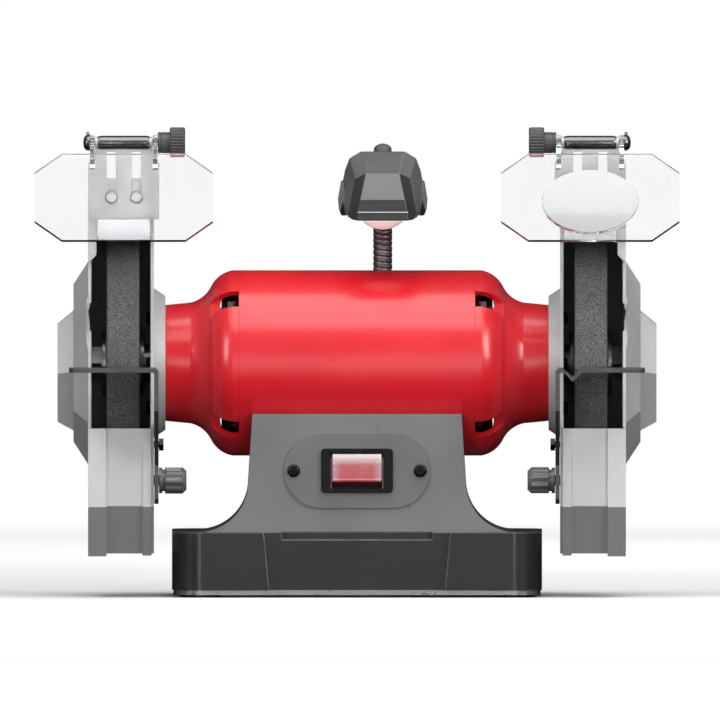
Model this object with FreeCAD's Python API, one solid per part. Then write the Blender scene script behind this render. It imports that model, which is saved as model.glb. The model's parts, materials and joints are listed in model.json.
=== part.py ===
import FreeCAD, Part
import math
import os

# Six inch bench grinder with a lamp, in millimetres. X runs along the shaft (+X is the right wheel), -Y is
# the front, where the person stands, and Z is up. The origin lies on the bench, in the middle of the four
# bench holes.

# ---- driving dimensions ----------------------------------------------------------------------------------
SHAFT_HEIGHT = 135.5

# motor
SHELL_R = 54.0
SHELL_WALL = 3.0
SHELL_HALF = 68.7
BELL_WALL = 3.2
BELL_NECK_R = 33.8
BELL_END = 111.6
VENT_WIDTH = 12.4
VENT_LENGTH = 7.6
VENT_TAIL = 17.5
TIE_BOLT_INSET = 5.8
TIE_BOLT_R = 2.5
STATOR_HALF = 32.0
AIR_GAP = 0.5
ROTOR_R = 27.9
WINDING_REACH = 18.0
FAN_R = 37.0
FAN_BLADES = 9

# shaft and bearings (15 x 35 x 11)
SHAFT_SHOULDER = 1.5
SHAFT_BEARING_R = 7.5
ARBOR_R = 6.35
BEARING_OUTER_R = 17.5
BEARING_WIDTH = 11.0
BEARING_X = 96.0
BALL_R = 2.3
BALL_COUNT = 8
BALL_GAP = 0.2
WASHER_GAP = 1.0

# wheels
WHEEL_R = 76.2
WHEEL_WIDTH = 19.0
WHEEL_X = 126.8
FLANGE_R = 19.0
FLANGE_RIM = 2.2
FLANGE_HUB_R = 11.0
BLOTTER = 0.5
NUT_FLATS = 19.0
NUT_LENGTH = 9.4

# wheel guards
WHEEL_CLEARANCE = 8.8
GUARD_WALL = 2.0
GUARD_X = 118.3
GUARD_OUTER_X = 156.7
HUB_DISC_R = 43.5
HUB_DISC_SMALL_R = 39.0
HUB_BORE_R = 13.0
LIP_FRONT = 50.0
LIP_HEIGHT = 11.0
COVER_LIP_HEIGHT = 25.4
COVER_LIP_BEVEL = 4.2
COVER_LIP_WIDTH = 4.9
OPENING_BOTTOM = -36.7
CHUTE_SETBACK = 1.0
CHUTE_DROP = 25.0
CHUTE_KNEE_RISE = 28.0
CHUTE_TOE_BACK = 22.0
REAR_TANGENT_DEG = -30.0
BAND_RISE = 1.2
BAND_STRIP = 5.3
SKIRT_WALL = 1.5
SKIRT_DEPTH = 10.7
SKIRT_FIT = 0.15
COVER_WALL = 1.9
BULGE_BASE = (58.6, 34.0)
BULGE_TOP = (45.5, 27.0)
BULGE_TOP_X = 165.2
BOSS_X = 174.5
LUG_R = 5.0
LUG_INSET = 6.2
POCKET_R = 5.6
POCKET_DEPTH = 3.2
OUTLET_DROP = 35.0
OUTLET_WIDTH = 26.0
OUTLET_LENGTH = 30.0
GUARD_SCREW_PITCH_R = 26.0

# screws
PAN_HEAD_R = 3.8
PAN_HEAD_H = 2.4
PAN_SHANK_R = 2.0
PAN_LENGTH = 9.0

# tool rests
REST_X = 115.6
REST_SHEET = 2.5
REST_OUTER_X = 167.8
REST_TOP = -1.2
REST_GAP = 2.8
REST_DEPTH = 39.0
REST_FOOT = -80.7
GUIDE_Z = -46.3
CLAMP_Z = -67.2
REST_BOLT_INSET = 12.0
REST_TRAVEL_OUT = 14.0
REST_TRAVEL_IN = 1.5
CLAMP_R = 3.0
GUIDE_R = 2.0
SLOT_CLEARANCE = 0.3
GROOVE_X = 125.0
GROOVE_HALF = 6.2
GROOVE_DEPTH = 5.3
REST_KNOB_R = 7.8
REST_KNOB_END = 99.3
KNOB_FACE_GAP = 0.2
KNOB_BORE_GAP = 0.1

# eye shields
BRACKET_X = 135.9
BRACKET_WIDTH = 41.4
BRACKET_SHEET = 1.8
BRACKET_SHOULDER_DROP = 0.8
BRACKET_CORNER_RISE = 32.0
BRACKET_SLOT_PITCH = 14.6
BRACKET_SLOT_WIDTH = 5.3
BRACKET_SLOT_RISE = 38.9
BRACKET_SCREW_RISE = 12.0
TAB_RISE = 23.0
TAB_WIDTH = 32.6
BARREL_R = 3.5
BARREL_HALF = 16.8
PIVOT_RISE = 44.3
SHIELD_WIDTH = 104.0
SHIELD_HEIGHT = 57.5
SHIELD_SHEET = 2.5
SHIELD_TILT_DEG = 30.0
SHIELD_DROP = 12.0
SHIELD_STANDOFF = 6.0
SHIELD_CORNER_X = 16.0
SHIELD_CORNER_S = 12.7
EAR_R = 4.7
EAR_SHEET = 2.6
EAR_GAP = 0.2
SHIELD_BOLT_R = 2.0
SHIELD_KNOB_R = 9.0
SHIELD_COLLAR_R = 6.15
SHIELD_KNOB_LENGTH = 9.0
SHIELD_COLLAR_LENGTH = 7.0
LENS_HALF_WIDTH = 28.0
LENS_HALF_HEIGHT = 20.8
LENS_DROP = 43.8
LENS_SHEET = 4.5

# spark arrestors
ARRESTOR_SHEET = 1.7
ARRESTOR_WIDTH = 30.4
ARRESTOR_DROP = 13.5
ARRESTOR_RISE = 22.5
ARRESTOR_TRAVEL_DOWN = 8.0
SHEET_GAP = 0.2

# base
PEDESTAL_DROP = 28.8
PEDESTAL_TOP_HALF = 61.0
PEDESTAL_HALF = 63.5
PEDESTAL_MARGIN = 3.0
FLARE_R = 29.0
FOOT_TOP = 37.9
FOOT_HALF_X = 107.8
FOOT_LEDGE = 18.0
FOOT_CORNER_R = 16.8
BASE_UNDERSIDE = 4.2
BASE_WALL = 4.5
BASE_CEILING = 29.0
PANEL_HALF_TOP = 54.5
PANEL_HALF_BOTTOM = 51.0
PANEL_DEPTH = 5.0
LIP_HALF = 44.0
LIP_DROP = 4.4
BENCH_HOLE_R = 4.25
RUBBER_R = 12.0
COLLAR_R = 7.0
COLLAR_DEPTH = 4.0
COVER_SHEET = 2.8
COVER_SCREW_X = 46.0
COVER_SCREW_INSET = 17.0
COVER_INSET = 0.8
COVER_SEAT = 2.0

# switch
SWITCH_DROP = 33.0
PLATE_WIDTH = 85.0
PLATE_HEIGHT = 43.7
PLATE_SHEET = 1.6
PLATE_SCREW_X = 36.9
HOUSING_RIM = 1.8
HOUSING_RIM_WIDTH = 5.9
HOUSING_RIM_HEIGHT = 3.3
HOUSING_WALL_X = 6.3
HOUSING_WALL_Z = 2.6
HOUSING_BODY_DEPTH = 20.0
ROCKER_WIDTH = 29.7
ROCKER_HEIGHT = 20.0
ROCKER_SWING_DEG = 7.0
ROCKER_PIVOT_DEPTH = 3.5

# cord inlet
INLET_X = -40.0
INLET_Z = 21.0
INLET_R = 8.0
INLET_BORE_R = 4.2

# lamp
LAMP_X = 15.0
NECK_GAP = 3.45
NECK_R = 5.55
NECK_ELBOW_R = 30.0
NECK_STRETCHES = 3
NECK_FIRST_JOINT = 32.1
NECK_LAST_STRETCH = 17.5
BALL_JOINT_R = 4.3
SOCKET_R = 4.6
SOCKET_LIP = 2.4
SHOULDER = 5.0
STEM_R = 2.5
HOOD_LENGTH = 68.0
HOOD_LIFT = 29.0
HOOD_HEIGHT = 41.4
HEAD_JOINT_DROP = 13.0
HOOD_WALL = 2.4
LENS_R = 11.5
LENS_SETBACK = 28.0
BUTTON_R = 5.2
BUTTON_TRAVEL = 1.5

CAPACITOR_R = 13.0
CAPACITOR_LENGTH = 52.0
CAPACITOR_Y = 20.0

# ---- derived values --------------------------------------------------------------------------------------
AXIS = SHAFT_HEIGHT
SHELL_INNER_R = SHELL_R - SHELL_WALL
TIE_BOLT_PITCH_R = SHELL_INNER_R - TIE_BOLT_INSET
SHAFT_CORE_R = SHAFT_BEARING_R + SHAFT_SHOULDER
GUARD_R = WHEEL_R + WHEEL_CLEARANCE
LIP_BOTTOM = GUARD_R - LIP_HEIGHT
COVER_LIP_BOTTOM = GUARD_R - COVER_LIP_HEIGHT
CHUTE_FRONT = GUARD_R - CHUTE_SETBACK
CHUTE_TOE = CHUTE_FRONT - CHUTE_TOE_BACK
CHUTE_BOTTOM = -(GUARD_R + CHUTE_DROP)
CHUTE_KNEE = CHUTE_BOTTOM + CHUTE_KNEE_RISE
GUARD_INNER_X = GUARD_X + GUARD_WALL
BAND_END_X = GUARD_OUTER_X - COVER_WALL - 0.1
FLANGE_IN_X = WHEEL_X - BLOTTER
WHEEL_OUT_X = WHEEL_X + WHEEL_WIDTH
FLANGE_OUT_X = WHEEL_OUT_X + BLOTTER
NUT_X = FLANGE_OUT_X + FLANGE_RIM
SHAFT_END = NUT_X + NUT_LENGTH + 2.0
BEARING_END = BEARING_X + BEARING_WIDTH
REST_EDGE_Y = -(WHEEL_R + REST_GAP)
REST_FRONT_Y = REST_EDGE_Y - REST_DEPTH
REST_BOLT_Y = REST_BOLT_INSET - CHUTE_FRONT
ARRESTOR_Y = -(LIP_FRONT + SKIRT_FIT + SKIRT_WALL + SHEET_GAP)
BRACKET_Y = ARRESTOR_Y - ARRESTOR_SHEET - SHEET_GAP
PIVOT_Y = BRACKET_Y - BRACKET_SHEET / 2
PIVOT_Z = GUARD_R + PIVOT_RISE
BRACKET_SCREW_Z = GUARD_R + BRACKET_SCREW_RISE
BRACKET_SCREWS = (BRACKET_X - BRACKET_SLOT_PITCH / 2, BRACKET_X + BRACKET_SLOT_PITCH / 2)
PEDESTAL_TOP = AXIS - PEDESTAL_DROP
PEDESTAL_DEPTH = SHELL_R + PEDESTAL_MARGIN
FOOT_HALF_Y = PEDESTAL_DEPTH + FOOT_LEDGE
POD_X = FOOT_HALF_X - FOOT_CORNER_R
POD_Y = FOOT_HALF_Y - FOOT_CORNER_R
SHIELD_INNER_EAR = BRACKET_X - BARREL_HALF - EAR_GAP
SHIELD_OUTER_EAR = BRACKET_X + BARREL_HALF + EAR_GAP
VENT_ANGLES = (45, 135, 225, 315)
FACE_Y = -PEDESTAL_DEPTH
PLATE_Y = FACE_Y - PLATE_SHEET
SWITCH_Z = PEDESTAL_TOP - SWITCH_DROP
ROCKER_PIVOT_Y = PLATE_Y + ROCKER_PIVOT_DEPTH
HOUSING_BODY_WIDTH = ROCKER_WIDTH + HOUSING_WALL_X
HOUSING_BODY_HEIGHT = ROCKER_HEIGHT + HOUSING_WALL_Z
HOUSING_WIDTH = HOUSING_BODY_WIDTH + HOUSING_RIM_WIDTH
HOUSING_HEIGHT = HOUSING_BODY_HEIGHT + HOUSING_RIM_HEIGHT
NECK_Y = PEDESTAL_DEPTH + NECK_GAP + NECK_R
ELBOW_Y = NECK_Y - NECK_ELBOW_R
HEAD_JOINT_Y = ELBOW_Y - SHOULDER
HOOD_BOTTOM = AXIS + SHELL_R + HOOD_LIFT
HOOD_TOP = HOOD_BOTTOM + HOOD_HEIGHT
HOOD_REAR = HEAD_JOINT_Y - SHOULDER
HOOD_FRONT = HOOD_REAR - HOOD_LENGTH
LENS_Y = HOOD_FRONT + LENS_SETBACK
ELBOW_Z = HOOD_BOTTOM + HEAD_JOINT_DROP
ELBOW_START = ELBOW_Z - NECK_ELBOW_R
NECK_LOW = FOOT_TOP + NECK_FIRST_JOINT
NECK_PITCH = (ELBOW_START - NECK_LAST_STRETCH - NECK_LOW) / NECK_STRETCHES
NECK_JOINTS = [NECK_LOW + NECK_PITCH * i for i in range(NECK_STRETCHES + 1)]

os.makedirs("parts", exist_ok=True)


# ---- helpers ---------------------------------------------------------------------------------------------
def vec(x, y, z):
    return FreeCAD.Vector(x, y, z)


def save(name, *solids):
    """Write one node, as one solid or as a group of separate solids."""
    shape = solids[0] if len(solids) == 1 else Part.makeCompound(list(solids))
    shape.exportStep("parts/" + name + ".step")


def block(x0, x1, y0, y1, z0, z1):
    return Part.makeBox(x1 - x0, y1 - y0, z1 - z0, vec(x0, y0, z0))


def rod_x(r, x0, x1, y=0.0, z=AXIS):
    return Part.makeCylinder(r, x1 - x0, vec(x0, y, z), vec(1, 0, 0))


def rod_y(r, y0, y1, x, z):
    return Part.makeCylinder(r, y1 - y0, vec(x, y0, z), vec(0, 1, 0))


def rod_z(r, z0, z1, x, y):
    return Part.makeCylinder(r, z1 - z0, vec(x, y, z0), vec(0, 0, 1))


def ring_x(r_in, r_out, x0, x1):
    return rod_x(r_out, x0, x1).cut(rod_x(r_in, x0, x1))


def polygon(points):
    return Part.Face(Part.makePolygon(points + [points[0]]))


def prism_yz(points, x0, x1):
    """A prism along X over an outline of (y, z) points."""
    return polygon([vec(x0, y, z) for y, z in points]).extrude(vec(x1 - x0, 0, 0))


def prism_xz(points, y0, y1):
    return polygon([vec(x, y0, z) for x, z in points]).extrude(vec(0, y1 - y0, 0))


def prism_xy(points, z0, z1):
    return polygon([vec(x, y, z0) for x, y in points]).extrude(vec(0, 0, z1 - z0))


def turned(edges):
    """A solid of revolution about the shaft, from edges in the plane y = 0."""
    face = Part.Face(Part.Wire(edges))
    return face.revolve(vec(0, 0, AXIS), vec(1, 0, 0), 360)


def at(x, r):
    """The point at x along the shaft and r above it."""
    return vec(x, 0, AXIS + r)


def turned_polygon(points):
    """A solid of revolution about the shaft over an outline of (x, r) points."""
    corners = [at(x, r) for x, r in points]
    return turned(Part.makePolygon(corners + [corners[0]]).Edges)


def mirrored(shape):
    """The same piece on the left side."""
    return shape.mirror(vec(0, 0, 0), vec(1, 0, 0))


def around_shaft(shape, degrees):
    copy = shape.copy()
    copy.rotate(vec(0, 0, AXIS), vec(1, 0, 0), degrees)
    return copy


def slot_y(r, y0, y1, z, x0, x1):
    """A slot through a sheet that lies across X: two round ends and the straight stretch between them."""
    middle = block(x0, x1, y0, y1, z - r, z + r)
    return middle.fuse([rod_x(r, x0, x1, y0, z), rod_x(r, x0, x1, y1, z)])


def slot_z(r, x, z0, z1, y0, y1):
    """An upright slot through a sheet that lies across Y."""
    middle = block(x - r, x + r, y0, y1, z0, z1)
    return middle.fuse([rod_y(r, y0, y1, x, z0), rod_y(r, y0, y1, x, z1)])


def rounded_block(half_x, half_y, r, z0, z1):
    body = block(-half_x, half_x, -half_y, half_y, z0, z1)
    edges = [e for e in body.Edges if abs(e.tangentAt(e.FirstParameter).z) > 0.9]
    return body.makeFillet(r, edges)


def pan_screw(x, y, z, towards):
    """A pan head screw whose head sits on the point, with its shank pointing along the given way."""
    way = vec(*towards)
    head = Part.makeCylinder(PAN_HEAD_R, PAN_HEAD_H, vec(x, y, z), way * -1)
    rim = [e for e in head.Edges if e.Length > PAN_HEAD_R and len(e.Vertexes) == 1]
    far = max(rim, key=lambda e: (e.CenterOfMass - vec(x, y, z)).Length)
    head = head.makeFillet(PAN_HEAD_H * 0.6, [far])
    slot = Part.makeBox(4.4, 1.0, 3.0, vec(-2.2, -0.5, -1.5))
    cross = slot.fuse(Part.makeBox(1.0, 4.4, 3.0, vec(-0.5, -2.2, -1.5)))
    top = vec(x, y, z) - way * (PAN_HEAD_H + 0.3)
    cross.Placement = FreeCAD.Placement(top, FreeCAD.Rotation(vec(0, 0, 1), way))
    shank = Part.makeCylinder(PAN_SHANK_R, PAN_LENGTH, vec(x, y, z), way)
    return head.cut(cross).fuse(shank).removeSplitter()


def hexagon_x(flats, x0, x1, y=0.0, z=AXIS):
    r = flats / math.sqrt(3)
    angles = [math.radians(60 * i) for i in range(6)]
    return prism_yz([(y + r * math.cos(a), z + r * math.sin(a)) for a in angles], x0, x1)


# ---- base ------------------------------------------------------------------------------------------------
def pedestal():
    """The column under the motor, flaring out to the foot with a round stretch on each side."""
    waist = FOOT_TOP + FLARE_R
    toe = PEDESTAL_HALF + FLARE_R
    bend = FLARE_R * (1 - math.sqrt(0.5))
    shoulder = vec(PEDESTAL_TOP_HALF, FACE_Y, PEDESTAL_TOP)
    right = [
        Part.LineSegment(shoulder, vec(PEDESTAL_HALF, FACE_Y, waist)).toShape(),
        Part.Arc(
            vec(PEDESTAL_HALF, FACE_Y, waist),
            vec(PEDESTAL_HALF + bend, FACE_Y, FOOT_TOP + bend),
            vec(toe, FACE_Y, FOOT_TOP),
        ).toShape(),
        Part.LineSegment(vec(toe, FACE_Y, FOOT_TOP), vec(toe, FACE_Y, BASE_CEILING)).toShape(),
    ]
    left = [mirrored(e) for e in right]
    top = Part.LineSegment(vec(-PEDESTAL_TOP_HALF, FACE_Y, PEDESTAL_TOP), shoulder)
    under = Part.LineSegment(vec(-toe, FACE_Y, BASE_CEILING), vec(toe, FACE_Y, BASE_CEILING))
    wire = Part.Wire(Part.__sortEdges__(right + left + [top.toShape(), under.toShape()]))
    return Part.Face(wire).extrude(vec(0, 2 * PEDESTAL_DEPTH, 0))


def corners(half_x, half_y):
    return [(sx * half_x, sy * half_y) for sx in (-1, 1) for sy in (-1, 1)]


COVER_SCREWS = corners(COVER_SCREW_X, FOOT_HALF_Y - COVER_SCREW_INSET)
COVER_SEAT_Z = BASE_UNDERSIDE - COVER_SHEET + COVER_SEAT
SADDLE_R = SHELL_R + BASE_WALL
CRADLE_X = 42.0
CRADLE_BOLT_R = 3.0


def base_casting():
    foot = rounded_block(FOOT_HALF_X, FOOT_HALF_Y, FOOT_CORNER_R, BASE_UNDERSIDE, FOOT_TOP)
    body = pedestal().fuse(foot)
    panel = [
        (-PANEL_HALF_BOTTOM, 0), (PANEL_HALF_BOTTOM, 0),
        (PANEL_HALF_TOP, FOOT_TOP), (-PANEL_HALF_TOP, FOOT_TOP),
    ]
    cuts = [
        prism_xz(panel, -FOOT_HALF_Y, -FOOT_HALF_Y + PANEL_DEPTH),
        block(-LIP_HALF, LIP_HALF, -FOOT_HALF_Y, FACE_Y, FOOT_TOP - LIP_DROP, FOOT_TOP),
        rod_x(SHELL_R, -FOOT_HALF_X, FOOT_HALF_X),
        rounded_block(FOOT_HALF_X - BASE_WALL, FOOT_HALF_Y - PANEL_DEPTH - BASE_WALL, FOOT_CORNER_R - BASE_WALL,
                      BASE_UNDERSIDE, BASE_CEILING),
    ]
    well_x = PEDESTAL_TOP_HALF - BASE_WALL
    well_y = PEDESTAL_DEPTH - BASE_WALL
    well = block(-well_x, well_x, -well_y, well_y, BASE_CEILING, PEDESTAL_TOP - 2 * BASE_WALL)
    cuts.append(well.cut(rod_x(SADDLE_R, -FOOT_HALF_X, FOOT_HALF_X)))
    body = body.cut(cuts)
    bosses = [rod_z(COLLAR_R + 4, BASE_UNDERSIDE, BASE_CEILING + 1, x, y) for x, y in corners(POD_X, POD_Y)]
    bosses += [rod_z(5.0, BASE_UNDERSIDE, BASE_CEILING + 1, x, y) for x, y in COVER_SCREWS]
    holes = [rod_z(BENCH_HOLE_R, 0, FOOT_TOP, x, y) for x, y in corners(POD_X, POD_Y)]
    holes += [rod_z(COLLAR_R, 0, BASE_UNDERSIDE + COLLAR_DEPTH, x, y) for x, y in corners(POD_X, POD_Y)]
    holes += [rod_z(PAN_SHANK_R, 0, COVER_SEAT_Z + PAN_LENGTH, x, y) for x, y in COVER_SCREWS]
    holes += [rod_z(CRADLE_BOLT_R, BASE_CEILING, AXIS, x, 0) for x in (-CRADLE_X, CRADLE_X)]
    holes.append(rod_z(7.0, BASE_CEILING, AXIS, 0, 0))
    holes.append(block(-HOUSING_BODY_WIDTH / 2, HOUSING_BODY_WIDTH / 2, FACE_Y, -well_y,
                       SWITCH_Z - HOUSING_BODY_HEIGHT / 2, SWITCH_Z + HOUSING_BODY_HEIGHT / 2))
    holes += [rod_y(PAN_SHANK_R, FACE_Y, -well_y, x, SWITCH_Z) for x in (-PLATE_SCREW_X, PLATE_SCREW_X)]
    holes.append(rod_y(INLET_R, 0, FOOT_HALF_Y, INLET_X, INLET_Z))
    holes.append(rod_z(STEM_R, BASE_CEILING, FOOT_TOP, LAMP_X, NECK_Y))
    return body.fuse(bosses).cut(holes).removeSplitter()


def rubber_foot(x, y):
    pad = rod_z(RUBBER_R, 0, BASE_UNDERSIDE, x, y)
    collar = rod_z(COLLAR_R, BASE_UNDERSIDE, BASE_UNDERSIDE + COLLAR_DEPTH, x, y)
    return pad.fuse(collar).cut(rod_z(BENCH_HOLE_R, 0, FOOT_TOP, x, y)).removeSplitter()


def bottom_cover():
    low = BASE_UNDERSIDE - COVER_SHEET
    sheet = rounded_block(FOOT_HALF_X - COVER_INSET, FOOT_HALF_Y - COVER_INSET, FOOT_CORNER_R - COVER_INSET,
                          low, BASE_UNDERSIDE)
    cuts = [rod_z(RUBBER_R + 0.6, 0, FOOT_TOP, x, y) for x, y in corners(POD_X, POD_Y)]
    cuts += [rod_z(PAN_SHANK_R, 0, FOOT_TOP, x, y) for x, y in COVER_SCREWS]
    cuts += [rod_z(PAN_HEAD_R + 0.3, 0, COVER_SEAT_Z, x, y) for x, y in COVER_SCREWS]
    return sheet.cut(cuts)


def cradle_bolt(x):
    seat = AXIS - SADDLE_R
    nose = AXIS - SHELL_INNER_R + 3.5
    head = rod_z(5.0, seat - 5.0, seat, x, 0)
    return head.fuse(rod_z(CRADLE_BOLT_R, seat, nose, x, 0)).removeSplitter()


save("base_casting", base_casting())
save("rubber_feet", *[rubber_foot(x, y) for x, y in corners(POD_X, POD_Y)])
save("bottom_cover", bottom_cover())
save("cradle_bolts", cradle_bolt(-CRADLE_X), cradle_bolt(CRADLE_X))


# ---- switch and wiring -----------------------------------------------------------------------------------
def stadium(width, height, y0, y1, z):
    r = height / 2
    reach = width / 2 - r
    ends = [rod_y(r, y0, y1, x, z) for x in (-reach, reach)]
    return block(-reach, reach, y0, y1, z - r, z + r).fuse(ends).removeSplitter()


def switch_plate():
    plate = stadium(PLATE_WIDTH, PLATE_HEIGHT, PLATE_Y, FACE_Y, SWITCH_Z)
    window = block(-HOUSING_BODY_WIDTH / 2, HOUSING_BODY_WIDTH / 2, PLATE_Y, FACE_Y,
                   SWITCH_Z - HOUSING_BODY_HEIGHT / 2, SWITCH_Z + HOUSING_BODY_HEIGHT / 2)
    screws = [rod_y(PAN_SHANK_R, PLATE_Y, FACE_Y, x, SWITCH_Z) for x in (-PLATE_SCREW_X, PLATE_SCREW_X)]
    return plate.cut([window] + screws)


def centred_block(width, height, y0, y1):
    return block(-width / 2, width / 2, y0, y1, SWITCH_Z - height / 2, SWITCH_Z + height / 2)


def switch_housing():
    rim_y = PLATE_Y - HOUSING_RIM
    rim = centred_block(HOUSING_WIDTH, HOUSING_HEIGHT, rim_y, PLATE_Y)
    upright = [e for e in rim.Edges if abs(e.tangentAt(e.FirstParameter).y) > 0.9]
    rim = rim.makeFillet(2.3, upright)
    width, height = HOUSING_BODY_WIDTH - 0.2, HOUSING_BODY_HEIGHT - 0.2
    body = centred_block(width, height, PLATE_Y, PLATE_Y + HOUSING_BODY_DEPTH)
    room = centred_block(ROCKER_WIDTH + 0.8, ROCKER_HEIGHT + 0.8, rim_y, PLATE_Y + 9.0)
    blades = [block(x - 3, x + 3, PLATE_Y + HOUSING_BODY_DEPTH, PLATE_Y + HOUSING_BODY_DEPTH + 8,
                    SWITCH_Z + z - 0.4, SWITCH_Z + z + 0.4) for x in (-8, 8) for z in (-5, 5)]
    pin = rod_x(1.5, -ROCKER_WIDTH / 2 - 2, ROCKER_WIDTH / 2 + 2, ROCKER_PIVOT_Y, SWITCH_Z)
    return rim.fuse([body] + blades).cut([room, pin]).removeSplitter()


def switch_rocker():
    """A rocker with a shallow V face and two pivot pins, resting on its off side."""
    half = ROCKER_HEIGHT / 2
    proud = PLATE_Y - HOUSING_RIM
    side = [
        (proud - 2.0, SWITCH_Z - half + 0.7),
        (proud - 0.2, SWITCH_Z),
        (proud - 2.0, SWITCH_Z + half - 0.7),
        (ROCKER_PIVOT_Y - 1.5, SWITCH_Z + half),
        (ROCKER_PIVOT_Y + 2.0, SWITCH_Z + half * 0.35),
        (ROCKER_PIVOT_Y + 2.0, SWITCH_Z - half * 0.35),
        (ROCKER_PIVOT_Y - 1.5, SWITCH_Z - half),
    ]
    cap = prism_yz(side, -ROCKER_WIDTH / 2, ROCKER_WIDTH / 2)
    pins = rod_x(1.4, -ROCKER_WIDTH / 2 - 1.6, ROCKER_WIDTH / 2 + 1.6, ROCKER_PIVOT_Y, SWITCH_Z)
    rocker = cap.fuse(pins).removeSplitter()
    rocker.rotate(vec(0, ROCKER_PIVOT_Y, SWITCH_Z), vec(1, 0, 0), -ROCKER_SWING_DEG)
    return rocker


def run_capacitor():
    y, z = CAPACITOR_Y, BASE_CEILING + CAPACITOR_R + 1.5
    end = -CAPACITOR_LENGTH / 2 - 4.0
    can = rod_x(CAPACITOR_R, end, end + CAPACITOR_LENGTH, y, z)
    tabs = [block(end + CAPACITOR_LENGTH, end + CAPACITOR_LENGTH + 6.0, y + side * 5.0 - 2.5, y + side * 5.0 + 2.5,
                  z - 0.5, z + 0.5) for side in (-1, 1)]
    return can.fuse(tabs).removeSplitter()


def terminal_block():
    body = block(-24.0, 24.0, -24.0, -10.0, BASE_UNDERSIDE, 22.0)
    wells = [rod_z(2.6, 17.0, 22.0, -18 + 12 * i, -17.0) for i in range(4)]
    return body.cut(wells)


def cord_inlet_bushing():
    wall = FOOT_HALF_Y - PANEL_DEPTH - BASE_WALL
    flange = rod_y(INLET_R + 3.0, FOOT_HALF_Y, FOOT_HALF_Y + 2.5, INLET_X, INLET_Z)
    sleeve = rod_y(INLET_R, wall - 2.0, FOOT_HALF_Y, INLET_X, INLET_Z)
    bore = rod_y(INLET_BORE_R, wall - 2.0, FOOT_HALF_Y + 2.5, INLET_X, INLET_Z)
    return flange.fuse(sleeve).cut(bore).removeSplitter()


save("switch_plate", switch_plate())
save("switch_housing", switch_housing())
save("switch_rocker", switch_rocker())
save("run_capacitor", run_capacitor())
save("terminal_block", terminal_block())
save("cord_inlet_bushing", cord_inlet_bushing())


# ---- motor -----------------------------------------------------------------------------------------------
def motor_shell():
    shell = ring_x(SHELL_INNER_R, SHELL_R, -SHELL_HALF, SHELL_HALF)
    low, high = AXIS - SHELL_R - 1, AXIS - SHELL_INNER_R + 3
    holes = [rod_z(CRADLE_BOLT_R, low, high, x, 0) for x in (-CRADLE_X, CRADLE_X)]
    holes.append(rod_z(7.0, low, high, 0, 0))
    return shell.cut(holes)


def bell_outline(inset):
    """The S-shaped wall of an end bell, from the shell down to the neck, moved in by the given wall."""
    r = SHELL_R - inset
    neck = BELL_NECK_R - inset
    drop = SHELL_R - BELL_NECK_R
    start = vec(SHELL_HALF + 3.8 - 0.4 * inset, 0, AXIS + r)
    mid = vec(SHELL_HALF + 16.1 - 0.8 * inset, 0, AXIS + r - 0.44 * drop)
    end = vec(SHELL_HALF + 28.3 - 0.4 * inset, 0, AXIS + neck + 0.07 * drop)
    crown = vec(SHELL_HALF + 12.0 - 0.6 * inset, 0, AXIS + r - 0.19 * drop)
    hollow = vec(SHELL_HALF + 20.0 - 0.7 * inset, 0, AXIS + neck + 0.29 * drop)
    return start, Part.Arc(start, crown, mid).toShape(), Part.Arc(mid, hollow, end).toShape(), end


def vent_cut():
    """One scoop: a sharp inboard edge, an opening through the wall and a ramp that fades towards the neck."""
    x0 = SHELL_HALF + 0.2
    x1 = SHELL_HALF + VENT_LENGTH
    x2 = SHELL_HALF + VENT_TAIL
    ramp_r = SHELL_R - 1.7 * BELL_WALL
    side = [(x0, ramp_r - 4), (x1, ramp_r - 1), (x2, SHELL_R - 11.0), (x2 + 6, SHELL_R + 6), (x0, SHELL_R + 6)]
    face = polygon([vec(x, -VENT_WIDTH / 2, AXIS + r) for x, r in side])
    return face.extrude(vec(0, VENT_WIDTH, 0))


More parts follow.
